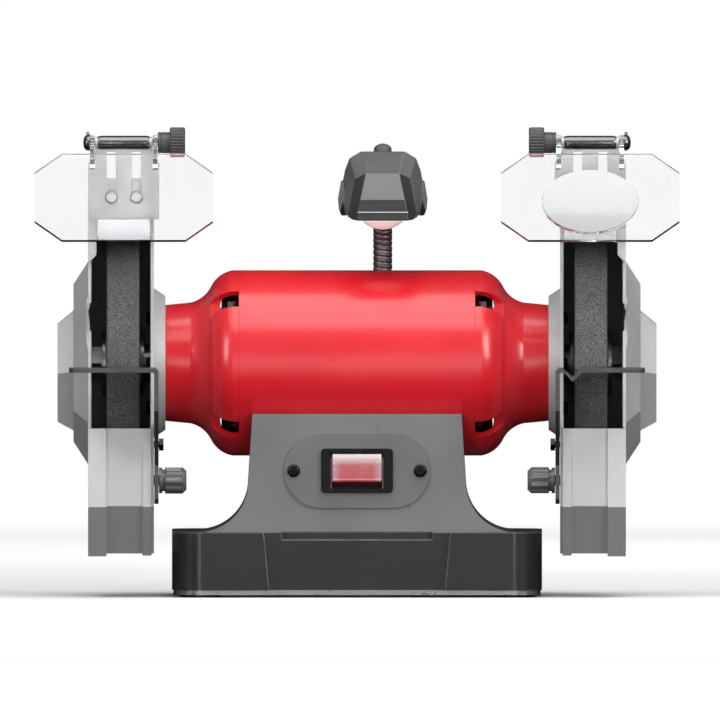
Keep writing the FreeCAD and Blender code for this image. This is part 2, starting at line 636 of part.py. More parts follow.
def end_bell(seat_end):
    start, crown, hollow, end = bell_outline(0.0)
    start_in, crown_in, hollow_in, end_in = bell_outline(BELL_WALL)
    spigot_r = SHELL_INNER_R
    outer = [
        Part.LineSegment(at(SHELL_HALF, SHELL_R), start).toShape(),
        crown,
        hollow,
        Part.LineSegment(end, at(BELL_END, BELL_NECK_R)).toShape(),
        Part.LineSegment(at(BELL_END, BELL_NECK_R), at(BELL_END, SHAFT_CORE_R + 2)).toShape(),
        Part.LineSegment(at(BELL_END, SHAFT_CORE_R + 2), at(seat_end, SHAFT_CORE_R + 2)).toShape(),
        Part.LineSegment(at(seat_end, SHAFT_CORE_R + 2), at(seat_end, BEARING_OUTER_R)).toShape(),
        Part.LineSegment(at(seat_end, BEARING_OUTER_R), at(BEARING_X - 2, BEARING_OUTER_R)).toShape(),
        Part.LineSegment(at(BEARING_X - 2, BEARING_OUTER_R), at(BEARING_X - 2, end_in.z - AXIS)).toShape(),
        Part.LineSegment(at(BEARING_X - 2, end_in.z - AXIS), end_in).toShape(),
        hollow_in,
        crown_in,
        Part.LineSegment(start_in, at(SHELL_HALF - 4.5, SHELL_R - SHELL_WALL - 3)).toShape(),
        Part.LineSegment(at(SHELL_HALF - 4.5, SHELL_R - SHELL_WALL - 3), at(SHELL_HALF - 4.5, spigot_r)).toShape(),
        Part.LineSegment(at(SHELL_HALF - 4.5, spigot_r), at(SHELL_HALF, spigot_r)).toShape(),
        Part.LineSegment(at(SHELL_HALF, spigot_r), at(SHELL_HALF, SHELL_R)).toShape(),
    ]
    bell = turned(Part.__sortEdges__(outer))
    lug = rod_x(TIE_BOLT_R + 3.5, SHELL_HALF - 2.5, SHELL_HALF + 3.5, 0, AXIS + TIE_BOLT_PITCH_R)
    hole = rod_x(TIE_BOLT_R, SHELL_HALF - 5, SHELL_HALF + 5, 0, AXIS + TIE_BOLT_PITCH_R)
    keep = rod_x(SHELL_INNER_R + 1.0, SHELL_HALF, SHELL_HALF + 5)
    lug = lug.common(keep)
    bell = bell.fuse([around_shaft(lug, a) for a in VENT_ANGLES])
    cuts = [around_shaft(vent_cut(), a) for a in VENT_ANGLES]
    cuts += [around_shaft(hole, a) for a in VENT_ANGLES]
    screw = rod_x(PAN_SHANK_R, BELL_END - 9, BELL_END + 1, 0, AXIS + GUARD_SCREW_PITCH_R)
    cuts += [around_shaft(screw, a) for a in (0, 90, 180, 270)]
    return bell.cut(cuts).removeSplitter()


def tie_bolt():
    end = SHELL_HALF + 3.5
    rod = rod_x(TIE_BOLT_R, -end - 3.0, end, 0, AXIS + TIE_BOLT_PITCH_R)
    head = hexagon_x(8.0, end, end + 3.2, 0, AXIS + TIE_BOLT_PITCH_R)
    nut = hexagon_x(8.0, -end - 3.2, -end, 0, AXIS + TIE_BOLT_PITCH_R)
    return rod.fuse([head, nut]).removeSplitter()


def stator_core():
    core = ring_x(ROTOR_R + AIR_GAP, SHELL_INNER_R, -STATOR_HALF, STATOR_HALF)
    hole = rod_x(TIE_BOLT_R + 0.3, -STATOR_HALF, STATOR_HALF, 0, AXIS + TIE_BOLT_PITCH_R)
    return core.cut([around_shaft(hole, a) for a in VENT_ANGLES])


def winding():
    ring = ring_x(ROTOR_R + 3.5, TIE_BOLT_PITCH_R - TIE_BOLT_R - 1.0, STATOR_HALF, STATOR_HALF + WINDING_REACH)
    far = [e for e in ring.Edges if len(e.Vertexes) == 1 and e.CenterOfMass.x > STATOR_HALF + WINDING_REACH - 0.1]
    return ring.makeFillet(3.5, far)


def shaft():
    half = [
        (0, 0), (0, SHAFT_CORE_R), (BEARING_X, SHAFT_CORE_R), (BEARING_X, SHAFT_BEARING_R),
        (GUARD_X, SHAFT_BEARING_R), (GUARD_X, ARBOR_R), (SHAFT_END - 1, ARBOR_R), (SHAFT_END, ARBOR_R - 1),
        (SHAFT_END, 0),
    ]
    right = turned_polygon(half)
    return right.fuse(mirrored(right)).removeSplitter()


def cooling_fan():
    x = STATOR_HALF + WINDING_REACH + 3
    disc = ring_x(SHAFT_CORE_R, FAN_R, x, x + 2)
    hub = ring_x(SHAFT_CORE_R, SHAFT_CORE_R + 4, x, x + 10)
    blade = block(x + 1, x + 10, -0.8, 0.8, AXIS + SHAFT_CORE_R + 2, AXIS + FAN_R - 1)
    blades = [around_shaft(blade, 360.0 * i / FAN_BLADES) for i in range(FAN_BLADES)]
    return disc.fuse([hub] + blades).removeSplitter()


RACE_R = (BEARING_OUTER_R + SHAFT_BEARING_R) / 2 - 0.2
RACE_HALF = 1.9


def race_groove(x):
    return Part.makeTorus(RACE_R, BALL_R + BALL_GAP, vec(x, 0, AXIS), vec(1, 0, 0))


def bearing_rings(side, r_in, r_out):
    x0, x1 = sorted((side * BEARING_X, side * BEARING_END))
    return ring_x(r_in, r_out, x0, x1).cut(race_groove((x0 + x1) / 2))


def balls(side):
    x = side * (BEARING_X + BEARING_WIDTH / 2)
    ball = Part.makeSphere(BALL_R, vec(x, 0, AXIS + RACE_R))
    return [around_shaft(ball, 360.0 * i / BALL_COUNT) for i in range(BALL_COUNT)]


SIDES = (-1, 1)
save("motor_shell", motor_shell())
save("end_bell_right", end_bell(BEARING_END))
save("end_bell_left", mirrored(end_bell(BEARING_END + WASHER_GAP)))
save("tie_bolts", *[around_shaft(tie_bolt(), a) for a in VENT_ANGLES])
save("stator_core", stator_core())
save("stator_windings", winding(), mirrored(winding()))
save("shaft", shaft())
save("rotor_core", ring_x(SHAFT_CORE_R, ROTOR_R, -STATOR_HALF, STATOR_HALF))
save("cooling_fan", cooling_fan())
save("bearing_outer_rings", *[bearing_rings(s, RACE_R + RACE_HALF, BEARING_OUTER_R) for s in SIDES])
save("bearing_inner_rings", *[bearing_rings(s, SHAFT_BEARING_R, RACE_R - RACE_HALF) for s in SIDES])
save("bearing_balls", *(balls(-1) + balls(1)))
save("preload_washer", ring_x(BEARING_OUTER_R - 3, BEARING_OUTER_R, -BEARING_END - WASHER_GAP, -BEARING_END))


# ---- grinding wheels -------------------------------------------------------------------------------------
def both(shape):
    return shape, mirrored(shape)


def wheel():
    body = ring_x(ARBOR_R, WHEEL_R, WHEEL_X, WHEEL_OUT_X)
    rims = [e for e in body.Edges if len(e.Vertexes) == 1 and e.Length > 2 * WHEEL_R]
    return body.makeChamfer(0.6, rims)


def inner_flange():
    disc = ring_x(ARBOR_R, FLANGE_R, FLANGE_IN_X - FLANGE_RIM, FLANGE_IN_X)
    hub = ring_x(ARBOR_R, FLANGE_HUB_R, GUARD_X, FLANGE_IN_X - FLANGE_RIM)
    return disc.fuse(hub).removeSplitter()


outer_flange = ring_x(ARBOR_R, FLANGE_R, FLANGE_OUT_X, NUT_X)
nut = hexagon_x(NUT_FLATS, NUT_X, NUT_X + NUT_LENGTH).cut(rod_x(ARBOR_R, NUT_X, NUT_X + NUT_LENGTH))
blotter_in = ring_x(ARBOR_R, FLANGE_R + 1, FLANGE_IN_X, WHEEL_X)
blotter_out = ring_x(ARBOR_R, FLANGE_R + 1, WHEEL_OUT_X, FLANGE_OUT_X)
save("grinding_wheels", *both(wheel()))
save("wheel_flanges", *(both(inner_flange()) + both(outer_flange)))
save("wheel_blotters", *(both(blotter_in) + both(blotter_out)))
save("wheel_nuts", *both(nut))


# ---- wheel guards ----------------------------------------------------------------------------------------
def guard_face(offset=0.0):
    """The side outline of a guard: round over the wheel, square at the top front, with a chute below."""
    y_b = REAR_Y + (REAR_Z - CHUTE_BOTTOM) * math.tan(SLOPE)
    mid = math.radians((90 + REAR_TANGENT_DEG) / 2)
    points = [
        (0, GUARD_R), (-LIP_FRONT, GUARD_R), (-LIP_FRONT, COVER_LIP_BOTTOM), (-CHUTE_FRONT, OPENING_BOTTOM),
        (-CHUTE_FRONT, CHUTE_KNEE), (-CHUTE_TOE, CHUTE_BOTTOM), (y_b, CHUTE_BOTTOM), (REAR_Y, REAR_Z),
    ]
    corners_ = [vec(0, y, AXIS + z) for y, z in points]
    edges = Part.makePolygon(corners_).Edges
    top = vec(0, GUARD_R * math.cos(mid), AXIS + GUARD_R * math.sin(mid))
    edges.append(Part.Arc(corners_[-1], top, corners_[0]).toShape())
    face = Part.Face(Part.Wire(edges))
    return face.makeOffset2D(offset, 2) if offset else face


def guard_solid(x0, x1, offset=0.0):
    body = guard_face(offset)
    body.translate(vec(x0, 0, 0))
    return body.extrude(vec(x1 - x0, 0, 0))


def opening_cut(x0, x1, top):
    """The wheel opening at the front, cut back along a chord from the chute up to the lip."""
    points = [
        (-140, OPENING_BOTTOM), (-70, OPENING_BOTTOM), (-LIP_FRONT + GUARD_WALL + 2, COVER_LIP_BOTTOM),
        (-LIP_FRONT + GUARD_WALL + 2, top), (-140, top),
    ]
    return prism_yz([(y, AXIS + z) for y, z in points], x0, x1)


COVER_LUGS = (
    (LUG_INSET - LIP_FRONT + 0.2, GUARD_R - LUG_INSET), (LUG_INSET - CHUTE_FRONT - 0.2, CHUTE_KNEE + 12.0),
    (20.0, CHUTE_BOTTOM + LUG_INSET - 0.2),
)
LUG_TOP_X = GUARD_OUTER_X - POCKET_DEPTH - COVER_WALL
SLOPE = math.radians(REAR_TANGENT_DEG)
REAR_Y = GUARD_R * math.cos(SLOPE)
REAR_Z = GUARD_R * math.sin(SLOPE)


def bracket_tab():
    """The upright tab on a guard's lip that the arrestor and the shield bracket are screwed to."""
    x0 = BRACKET_X - TAB_WIDTH / 2
    x1 = BRACKET_X + TAB_WIDTH / 2
    low = AXIS + GUARD_R - 1.0
    step = AXIS + GUARD_R + 2 * (SKIRT_FIT + SKIRT_WALL)
    skirt_x = GUARD_OUTER_X - SKIRT_DEPTH - SKIRT_FIT
    top = AXIS + GUARD_R + TAB_RISE
    outline = [(x0, low), (skirt_x, low), (skirt_x, step), (x1, step), (x1, top), (x0, top)]
    return prism_xz(outline, -LIP_FRONT - SKIRT_FIT - SKIRT_WALL, -LIP_FRONT + GUARD_WALL)


def inner_guard():
    wall = guard_solid(GUARD_X, GUARD_INNER_X)
    band = guard_solid(GUARD_X, BAND_END_X).cut(guard_solid(GUARD_INNER_X, BAND_END_X, -GUARD_WALL))
    strip = guard_solid(GUARD_X + 1.4, GUARD_X + 1.4 + BAND_STRIP, BAND_RISE)
    strip = strip.cut(guard_solid(GUARD_X, BAND_END_X, -GUARD_WALL / 2))
    disc = turned_polygon([
        (BELL_END, HUB_BORE_R), (BELL_END, HUB_DISC_SMALL_R), (GUARD_X, HUB_DISC_R),
        (GUARD_X + GUARD_WALL / 2, HUB_DISC_R), (GUARD_X + GUARD_WALL / 2, HUB_BORE_R),
    ])
    lugs = [rod_x(LUG_R, GUARD_INNER_X + 4, LUG_TOP_X, y, AXIS + z) for y, z in COVER_LUGS]
    body = wall.fuse([band, strip, disc, bracket_tab()] + lugs)
    cuts = [opening_cut(GUARD_X - 1, GUARD_OUTER_X + 1, LIP_BOTTOM), rod_x(HUB_BORE_R, BELL_END - 1, GUARD_X + 5)]
    cuts += [rod_x(PAN_SHANK_R, LUG_TOP_X - PAN_LENGTH, LUG_TOP_X, y, AXIS + z) for y, z in COVER_LUGS]
    screw = rod_x(PAN_SHANK_R, BELL_END - 1, GUARD_X + 5, 0, AXIS + GUARD_SCREW_PITCH_R)
    cuts += [around_shaft(screw, a) for a in (0, 90, 180, 270)]
    cuts.append(rod_x(GUIDE_R, GUARD_X - 1, GUARD_X + 5, REST_BOLT_Y, AXIS + GUIDE_Z))
    cuts.append(rod_x(CLAMP_R, GUARD_X - 1, GUARD_X + 5, REST_BOLT_Y, AXIS + CLAMP_Z))
    screw_z = AXIS + BRACKET_SCREW_Z
    cuts += [rod_y(PAN_SHANK_R, -LIP_FRONT - 3, -LIP_FRONT + 5, x, screw_z) for x in BRACKET_SCREWS]
    outlet_x = (GUARD_INNER_X + BAND_END_X) / 2
    outlet = block(outlet_x - OUTLET_WIDTH / 2, outlet_x + OUTLET_WIDTH / 2, -12, 12,
                   -OUTLET_LENGTH / 2, OUTLET_LENGTH / 2)
    outlet.rotate(vec(0, 0, 0), vec(1, 0, 0), REAR_TANGENT_DEG)
    drop = vec(0, OUTLET_DROP * math.sin(SLOPE), -OUTLET_DROP * math.cos(SLOPE))
    outlet.translate(vec(0, REAR_Y, AXIS + REAR_Z) + drop)
    cuts.append(outlet)
    return body.cut(cuts).removeSplitter()


def octagon(x, size, shrink):
    """A closed octagon across X. Its size is the height of its top corners and of its side corners."""
    high, low = size
    flat, wide = low * 0.8, high
    corners_ = [(flat, high), (wide, low), (wide, -low), (flat, -high)]
    points = corners_ + [(-y, z) for y, z in reversed(corners_)]
    k = 1 - shrink / high
    return Part.makePolygon([vec(x, y * k, AXIS + z * k) for y, z in points + [points[0]]])


def bulge(shrink, x0, x1):
    """The octagonal dome of a cover, drawn in towards its flat top."""
    return Part.makeLoft([octagon(x0, BULGE_BASE, shrink), octagon(x1, BULGE_TOP, shrink)], True, True)


def hexagonal_boss(shrink, x0, x1):
    """The faceted boss on a cover: a hexagon drawn in towards its flat top."""
    def ring(x, half_y, top, bottom):
        half = (top + bottom) / 2
        points = [(-half_y, half), (-half_y * 0.55, top), (half_y * 0.55, top), (half_y, half),
                  (half_y * 0.55, bottom), (-half_y * 0.55, bottom)]
        return Part.makePolygon([vec(x, y, AXIS + z) for y, z in points + [points[0]]])
    base = ring(x0, 41.0 - shrink, 31.0 - shrink, -39.5 + shrink)
    top = ring(x1, 34.0 - shrink, 22.5 - shrink, -34.0 + shrink)
    return Part.makeLoft([base, top], True, True)


def outer_guard():
    plate = guard_solid(GUARD_OUTER_X - COVER_WALL, GUARD_OUTER_X, SKIRT_FIT + SKIRT_WALL)
    skirt = guard_solid(GUARD_OUTER_X - SKIRT_DEPTH, GUARD_OUTER_X, SKIRT_FIT + SKIRT_WALL)
    skirt = skirt.cut(guard_solid(GUARD_OUTER_X - SKIRT_DEPTH, GUARD_OUTER_X, SKIRT_FIT))
    dome = bulge(0.0, GUARD_OUTER_X, BULGE_TOP_X)
    room = bulge(1.4 * COVER_WALL, GUARD_OUTER_X - COVER_WALL, BULGE_TOP_X - COVER_WALL)
    hole = Part.Face(octagon(GUARD_OUTER_X - 2 * COVER_WALL, BULGE_BASE, 1.4 * COVER_WALL))
    hole = hole.extrude(vec(1.5 * COVER_WALL, 0, 0))
    boss = hexagonal_boss(0.0, BULGE_TOP_X - COVER_WALL / 2, BOSS_X)
    boss_room = hexagonal_boss(2 * COVER_WALL, BULGE_TOP_X - 2 * COVER_WALL, BOSS_X - COVER_WALL)
    pockets = [rod_x(POCKET_R + COVER_WALL, LUG_TOP_X, GUARD_OUTER_X, y, AXIS + z) for y, z in COVER_LUGS]
    inside = guard_solid(LUG_TOP_X - 1, GUARD_OUTER_X, -GUARD_WALL - 0.3)
    cups = [p.common(inside) for p in pockets]
    body = plate.fuse([skirt, dome, boss] + cups)
    skirt_x = GUARD_OUTER_X - SKIRT_DEPTH
    low = AXIS + COVER_LIP_BOTTOM
    lip_x = GUARD_OUTER_X - COVER_LIP_WIDTH
    lip_cut = [
        (skirt_x - 1, low - 1), (skirt_x - 1, AXIS + LIP_BOTTOM), (lip_x, AXIS + LIP_BOTTOM),
        (lip_x, low + COVER_LIP_BEVEL), (lip_x + COVER_LIP_BEVEL, low), (lip_x + COVER_LIP_BEVEL, low - 1),
    ]
    cuts = [room, hole, boss_room, prism_xz(lip_cut, -LIP_FRONT - 5, -LIP_FRONT)]
    cuts.append(opening_cut(skirt_x - 1, GUARD_OUTER_X + 1, COVER_LIP_BOTTOM + 0.01))
    cuts += [rod_x(POCKET_R, LUG_TOP_X + COVER_WALL, GUARD_OUTER_X + 5, y, AXIS + z).common(
        guard_solid(LUG_TOP_X, GUARD_OUTER_X + 5, -GUARD_WALL + 0.4)) for y, z in COVER_LUGS]
    cuts += [rod_x(PAN_SHANK_R, LUG_TOP_X - 1, GUARD_OUTER_X, y, AXIS + z) for y, z in COVER_LUGS]
    return body.cut(cuts).removeSplitter()


save("inner_guard_right", inner_guard())
save("inner_guard_left", mirrored(inner_guard()))
save("outer_guard_right", outer_guard())
save("outer_guard_left", mirrored(outer_guard()))
hub_screw = pan_screw(GUARD_INNER_X, 0, AXIS + GUARD_SCREW_PITCH_R, (-1, 0, 0))
hub_screws = [around_shaft(hub_screw, a) for a in (0, 90, 180, 270)]
save("guard_mount_screws", *(hub_screws + [mirrored(s) for s in hub_screws]))
cover_screws = [pan_screw(LUG_TOP_X + COVER_WALL, y, AXIS + z, (-1, 0, 0)) for y, z in COVER_LUGS]
plate_screws = [pan_screw(x, PLATE_Y, SWITCH_Z, (0, 1, 0)) for x in (-PLATE_SCREW_X, PLATE_SCREW_X)]
bottom_screws = [pan_screw(x, y, COVER_SEAT_Z, (0, 0, 1)) for x, y in COVER_SCREWS]
save("pan_head_screws", *(cover_screws + [mirrored(s) for s in cover_screws] + plate_screws + bottom_screws))


# ---- tool rests ------------------------------------------------------------------------------------------
def rest_section(grooved):
    """The cross-section of a rest over (x, z): a leg, a bend and the table, with a V groove for drill bits."""
    t = REST_SHEET
    top = AXIS + REST_TOP
    low = top - 30.0
    x = REST_X
    table_top = [(x + 2.0, top)]
    table_under = [(REST_OUTER_X, top - t)]
    if grooved:
        g, w, d = GROOVE_X + 0.6, GROOVE_HALF, GROOVE_DEPTH
        table_top += [(g - w, top), (g, top - d), (g + w * 0.75, top)]
        table_under += [(g + w * 0.75 + 1.2, top - t), (g, top - d - t), (g - w + 1.2, top - t)]
    outline = table_top + [(REST_OUTER_X, top)] + table_under
    outline += [(x + t + 0.8, top - t), (x + t, top - t - 0.8), (x + t, low), (x, low), (x, top - 2.0)]
    return outline


def tool_rest(grooved):
    table = prism_xz(rest_section(grooved), REST_FRONT_Y, REST_EDGE_Y)
    low = AXIS + REST_FOOT
    leg = [
        (REST_FRONT_Y, AXIS - 10), (REST_EDGE_Y, AXIS - 10), (REST_EDGE_Y, AXIS - 31), (-53, AXIS - 39),
        (-53, low + 3), (-56, low), (-86, low), (-89, low + 3), (-89, AXIS - 58), (REST_FRONT_Y, AXIS - 26),
    ]
    front = prism_yz([(REST_FRONT_Y - 5, AXIS - 60), (-89, AXIS - 58), (REST_FRONT_Y, AXIS - 26),
                      (REST_FRONT_Y - 5, AXIS - 26)], REST_X - 1, REST_X + REST_SHEET + 1)
    body = table.cut(front).fuse(prism_yz(leg, REST_X, REST_X + REST_SHEET))
    y0 = REST_BOLT_Y - REST_TRAVEL_IN
    y1 = REST_BOLT_Y + REST_TRAVEL_OUT
    x0, x1 = REST_X - 1, REST_X + REST_SHEET + 1
    cuts = [
        slot_y(CLAMP_R + SLOT_CLEARANCE, y0, y1, AXIS + CLAMP_Z, x0, x1),
        slot_y(GUIDE_R + SLOT_CLEARANCE, y0, y1, AXIS + GUIDE_Z, x0, x1),
    ]
    if grooved:
        cuts.append(rod_z(1.6, AXIS - 10, AXIS + 5, REST_X + 19.9, REST_EDGE_Y - REST_DEPTH / 2))
    outer = [e for e in body.Edges if abs(e.tangentAt(e.FirstParameter).z) > 0.99
             and e.CenterOfMass.x > REST_OUTER_X - 0.1]
    return body.makeFillet(5.0, outer).cut(cuts).removeSplitter()


def rest_knob():
    """A fluted hand knob: flange, groove, grip and a chamfered end."""
    face = REST_X - KNOB_FACE_GAP
    end = REST_KNOB_END
    outline = [
        (face, REST_KNOB_R - 0.1), (face - 1.7, REST_KNOB_R - 0.1), (face - 2.0, 6.4), (face - 3.2, 6.4),
        (face - 3.6, REST_KNOB_R), (end + 2.4, REST_KNOB_R), (end, REST_KNOB_R - 2.2),
        (end, CLAMP_R + KNOB_BORE_GAP), (face, CLAMP_R + KNOB_BORE_GAP),
    ]
    body = turned_polygon(outline)
    flute = rod_x(0.7, end - 1, face - 3.2, 0, AXIS + REST_KNOB_R + 0.2)
    body = body.cut([around_shaft(flute, 360.0 * i / 18) for i in range(18)])
    body.translate(vec(0, REST_BOLT_Y, CLAMP_Z))
    return body


def clamp_bolt():
    """A carriage bolt: domed head inside the guard, its shank through the guard, the rest and the knob."""
    y, z = REST_BOLT_Y, AXIS + CLAMP_Z
    head = rod_x(6.0, GUARD_INNER_X, GUARD_INNER_X + 2.6, y, z)
    return head.fuse(rod_x(CLAMP_R, REST_KNOB_END + 1.5, GUARD_INNER_X, y, z)).removeSplitter()


def guide_bolt():
    y, z = REST_BOLT_Y, AXIS + GUIDE_Z
    head_x = REST_X - KNOB_FACE_GAP
    head = hexagon_x(7.0, head_x - 2.7, head_x, y, z)
    return head.fuse(rod_x(GUIDE_R, head_x, GUARD_INNER_X + 2, y, z)).removeSplitter()


save("tool_rest_left", mirrored(tool_rest(False)))
save("tool_rest_right", tool_rest(True))
save("rest_knob_right", rest_knob())
save("rest_knob_left", mirrored(rest_knob()))
save("rest_clamp_bolts", *both(clamp_bolt()))
save("rest_guide_bolts", *both(guide_bolt()))


# ---- spark arrestors and eye shields ---------------------------------------------------------------------
def spark_arrestor():
    half = ARRESTOR_WIDTH / 2
    sheet = block(BRACKET_X - half, BRACKET_X + half, ARRESTOR_Y - ARRESTOR_SHEET, ARRESTOR_Y,
                  AXIS + GUARD_R - ARRESTOR_DROP, AXIS + GUARD_R + ARRESTOR_RISE)
    r = PAN_SHANK_R + SLOT_CLEARANCE
    z = AXIS + BRACKET_SCREW_Z
    far = z + ARRESTOR_TRAVEL_DOWN + 2 * r
    forks = [slot_z(r, x, z, far, ARRESTOR_Y - 5, ARRESTOR_Y + 5) for x in BRACKET_SCREWS]
    return sheet.cut(forks)


def shield_bracket():
    """A plate with two punched slots, its top edge rolled into a barrel for the shield bolt."""
    half = BRACKET_WIDTH / 2
    x = BRACKET_X
    corner = GUARD_R + BRACKET_CORNER_RISE
    right = [
        (half, GUARD_R - BRACKET_SHOULDER_DROP), (half, corner), (BARREL_HALF, corner + 7), (BARREL_HALF, PIVOT_Z),
    ]
    outline = [(x + px, AXIS + z) for px, z in right] + [(x - px, AXIS + z) for px, z in reversed(right)]
    sheet = prism_xz(outline, BRACKET_Y - BRACKET_SHEET, BRACKET_Y)
    barrel = rod_x(BARREL_R, x - BARREL_HALF, x + BARREL_HALF, PIVOT_Y, AXIS + PIVOT_Z)
    bore = rod_x(SHIELD_BOLT_R + KNOB_BORE_GAP, x - BARREL_HALF, x + BARREL_HALF, PIVOT_Y, AXIS + PIVOT_Z)
    w = BRACKET_SLOT_WIDTH / 2
    low = AXIS + BRACKET_SCREW_Z - w
    high = AXIS + GUARD_R + BRACKET_SLOT_RISE
    slots = [block(sx - w, sx + w, BRACKET_Y - 5, BRACKET_Y + 5, low, high) for sx in BRACKET_SCREWS]
    return sheet.fuse(barrel).cut([bore] + slots).removeSplitter()


def bracket_screw(x):
    face = BRACKET_Y - BRACKET_SHEET - SHEET_GAP
    return pan_screw(x, face, AXIS + BRACKET_SCREW_Z, (0, 1, 0))


def tilted(shape):
    """Turn a shape drawn upright below the pivot (s down, d forward) to the shield's rest tilt."""
    shape.rotate(vec(0, PIVOT_Y, AXIS + PIVOT_Z), vec(1, 0, 0), -SHIELD_TILT_DEG)
    return shape


def shield_sheet_point(s, d):
    return PIVOT_Y - d, AXIS + PIVOT_Z - s


def ear(x0, x1):
    tip_s = SHIELD_DROP + 11
    back = SHIELD_STANDOFF + 0.5
    points = [shield_sheet_point(s, d) for s, d in (
        (0, 0), (-EAR_R * 0.5, EAR_R * 0.87), (SHIELD_DROP, back), (tip_s, back), (EAR_R * 0.9, -EAR_R * 0.43))]
    web = prism_yz(points, x0, x1)
    return web.fuse(rod_x(EAR_R, x0, x1, PIVOT_Y, AXIS + PIVOT_Z))


def eye_shield(with_lens):
    half = SHIELD_WIDTH / 2
    cx, cs = SHIELD_CORNER_X, SHIELD_CORNER_S
    s0, s1 = SHIELD_DROP, SHIELD_DROP + SHIELD_HEIGHT
    outline = [(-half + cx, s0), (half - cx, s0), (half, s0 + cs), (half, s1 - cs), (half - cx, s1),
               (-half + cx, s1), (-half, s1 - cs), (-half, s0 + cs)]
    back = PIVOT_Y - SHIELD_STANDOFF
    sheet = prism_xz([(BRACKET_X + px, AXIS + PIVOT_Z - s) for px, s in outline], back - SHIELD_SHEET, back)
    if with_lens:
        sheet = sheet.cut(lens_solid(0.1))
    ears = [
        ear(SHIELD_INNER_EAR - EAR_SHEET, SHIELD_INNER_EAR), ear(SHIELD_OUTER_EAR, SHIELD_OUTER_EAR + EAR_SHEET),
    ]
    hole = rod_x(SHIELD_BOLT_R, BRACKET_X - 40, BRACKET_X + 40, PIVOT_Y, AXIS + PIVOT_Z)
    return tilted(sheet.fuse(ears).cut(hole).removeSplitter())


def lens_solid(gap):
    back = PIVOT_Y - SHIELD_STANDOFF + 1.0
    centre = vec(BRACKET_X, back, AXIS + PIVOT_Z - LENS_DROP)
    wide = centre + vec(LENS_HALF_WIDTH + gap, 0, 0)
    oval = Part.Ellipse(wide, centre + vec(0, 0, LENS_HALF_HEIGHT + gap), centre)
    return Part.Face(Part.Wire(oval.toShape())).extrude(vec(0, -LENS_SHEET, 0))


def shield_bolt():
    z = AXIS + PIVOT_Z
    head_x = SHIELD_OUTER_EAR + EAR_SHEET
    head = rod_x(4.7, head_x, head_x + 4.0, PIVOT_Y, z)
    far = [e for e in head.Edges if len(e.Vertexes) == 1 and e.CenterOfMass.x > head_x + 3]
    head = head.makeFillet(2.6, far)
    tail = SHIELD_INNER_EAR - EAR_SHEET - SHIELD_COLLAR_LENGTH - SHIELD_KNOB_LENGTH + 1.0
    return head.fuse(rod_x(SHIELD_BOLT_R, tail, head_x, PIVOT_Y, z)).removeSplitter()


def shield_knob():
    face = SHIELD_INNER_EAR - EAR_SHEET - EAR_GAP
    bore = SHIELD_BOLT_R + KNOB_BORE_GAP
    body = turned_polygon([
        (face, bore), (face, SHIELD_COLLAR_R), (face - SHIELD_COLLAR_LENGTH, SHIELD_COLLAR_R),
        (face - SHIELD_COLLAR_LENGTH, SHIELD_KNOB_R), (face - SHIELD_COLLAR_LENGTH - SHIELD_KNOB_LENGTH, SHIELD_KNOB_R),
        (face - SHIELD_COLLAR_LENGTH - SHIELD_KNOB_LENGTH, bore),
    ])
    flute = rod_x(0.8, face - SHIELD_COLLAR_LENGTH - SHIELD_KNOB_LENGTH - 1, face - SHIELD_COLLAR_LENGTH, 0,
                  AXIS + SHIELD_KNOB_R + 0.2)
    body = body.cut([around_shaft(flute, 360.0 * i / 20) for i in range(20)])
    body.translate(vec(0, PIVOT_Y, PIVOT_Z))
    return body


save("spark_arrestor_right", spark_arrestor())
save("spark_arrestor_left", mirrored(spark_arrestor()))
save("shield_bracket_right", shield_bracket())
save("shield_bracket_left", mirrored(shield_bracket()))
bracket_screws = [bracket_screw(x) for x in BRACKET_SCREWS]
save("bracket_screws", *(bracket_screws + [mirrored(s) for s in bracket_screws]))
save("eye_shield_right", eye_shield(True))
save("eye_shield_left", mirrored(eye_shield(False)))
save("magnifier_lens", tilted(lens_solid(0.0)))
save("shield_bolt_right", shield_bolt())
save("shield_bolt_left", mirrored(shield_bolt()))
save("shield_knob_right", shield_knob())
save("shield_knob_left", mirrored(shield_knob()))


# ---- lamp ------------------------------------------------------------------------------------------------
def ball_end(z_shoulder, z_ball):
    stem = rod_z(STEM_R, z_shoulder, z_ball, LAMP_X, NECK_Y)
    return stem.fuse(Part.makeSphere(BALL_JOINT_R, vec(LAMP_X, NECK_Y, z_ball)))


def neck_socket():
    z_ball = NECK_JOINTS[0]
    flange = rod_z(8.8, FOOT_TOP, FOOT_TOP + 3.0, LAMP_X, NECK_Y)
    post = rod_z(NECK_R, FOOT_TOP + 3.0, z_ball - SHOULDER, LAMP_X, NECK_Y)
    return flange.fuse([post, ball_end(z_ball - SHOULDER, z_ball)]).removeSplitter()


def neck_segment(low, high):
    """A straight stretch of the gooseneck: a socket at its lower joint and a ball at its upper joint."""
    tube = rod_z(NECK_R, low - SOCKET_LIP, high - SHOULDER, LAMP_X, NECK_Y)
    tube = tube.cut(Part.makeSphere(SOCKET_R, vec(LAMP_X, NECK_Y, low)))
    return tube.fuse(ball_end(high - SHOULDER, high)).removeSplitter()


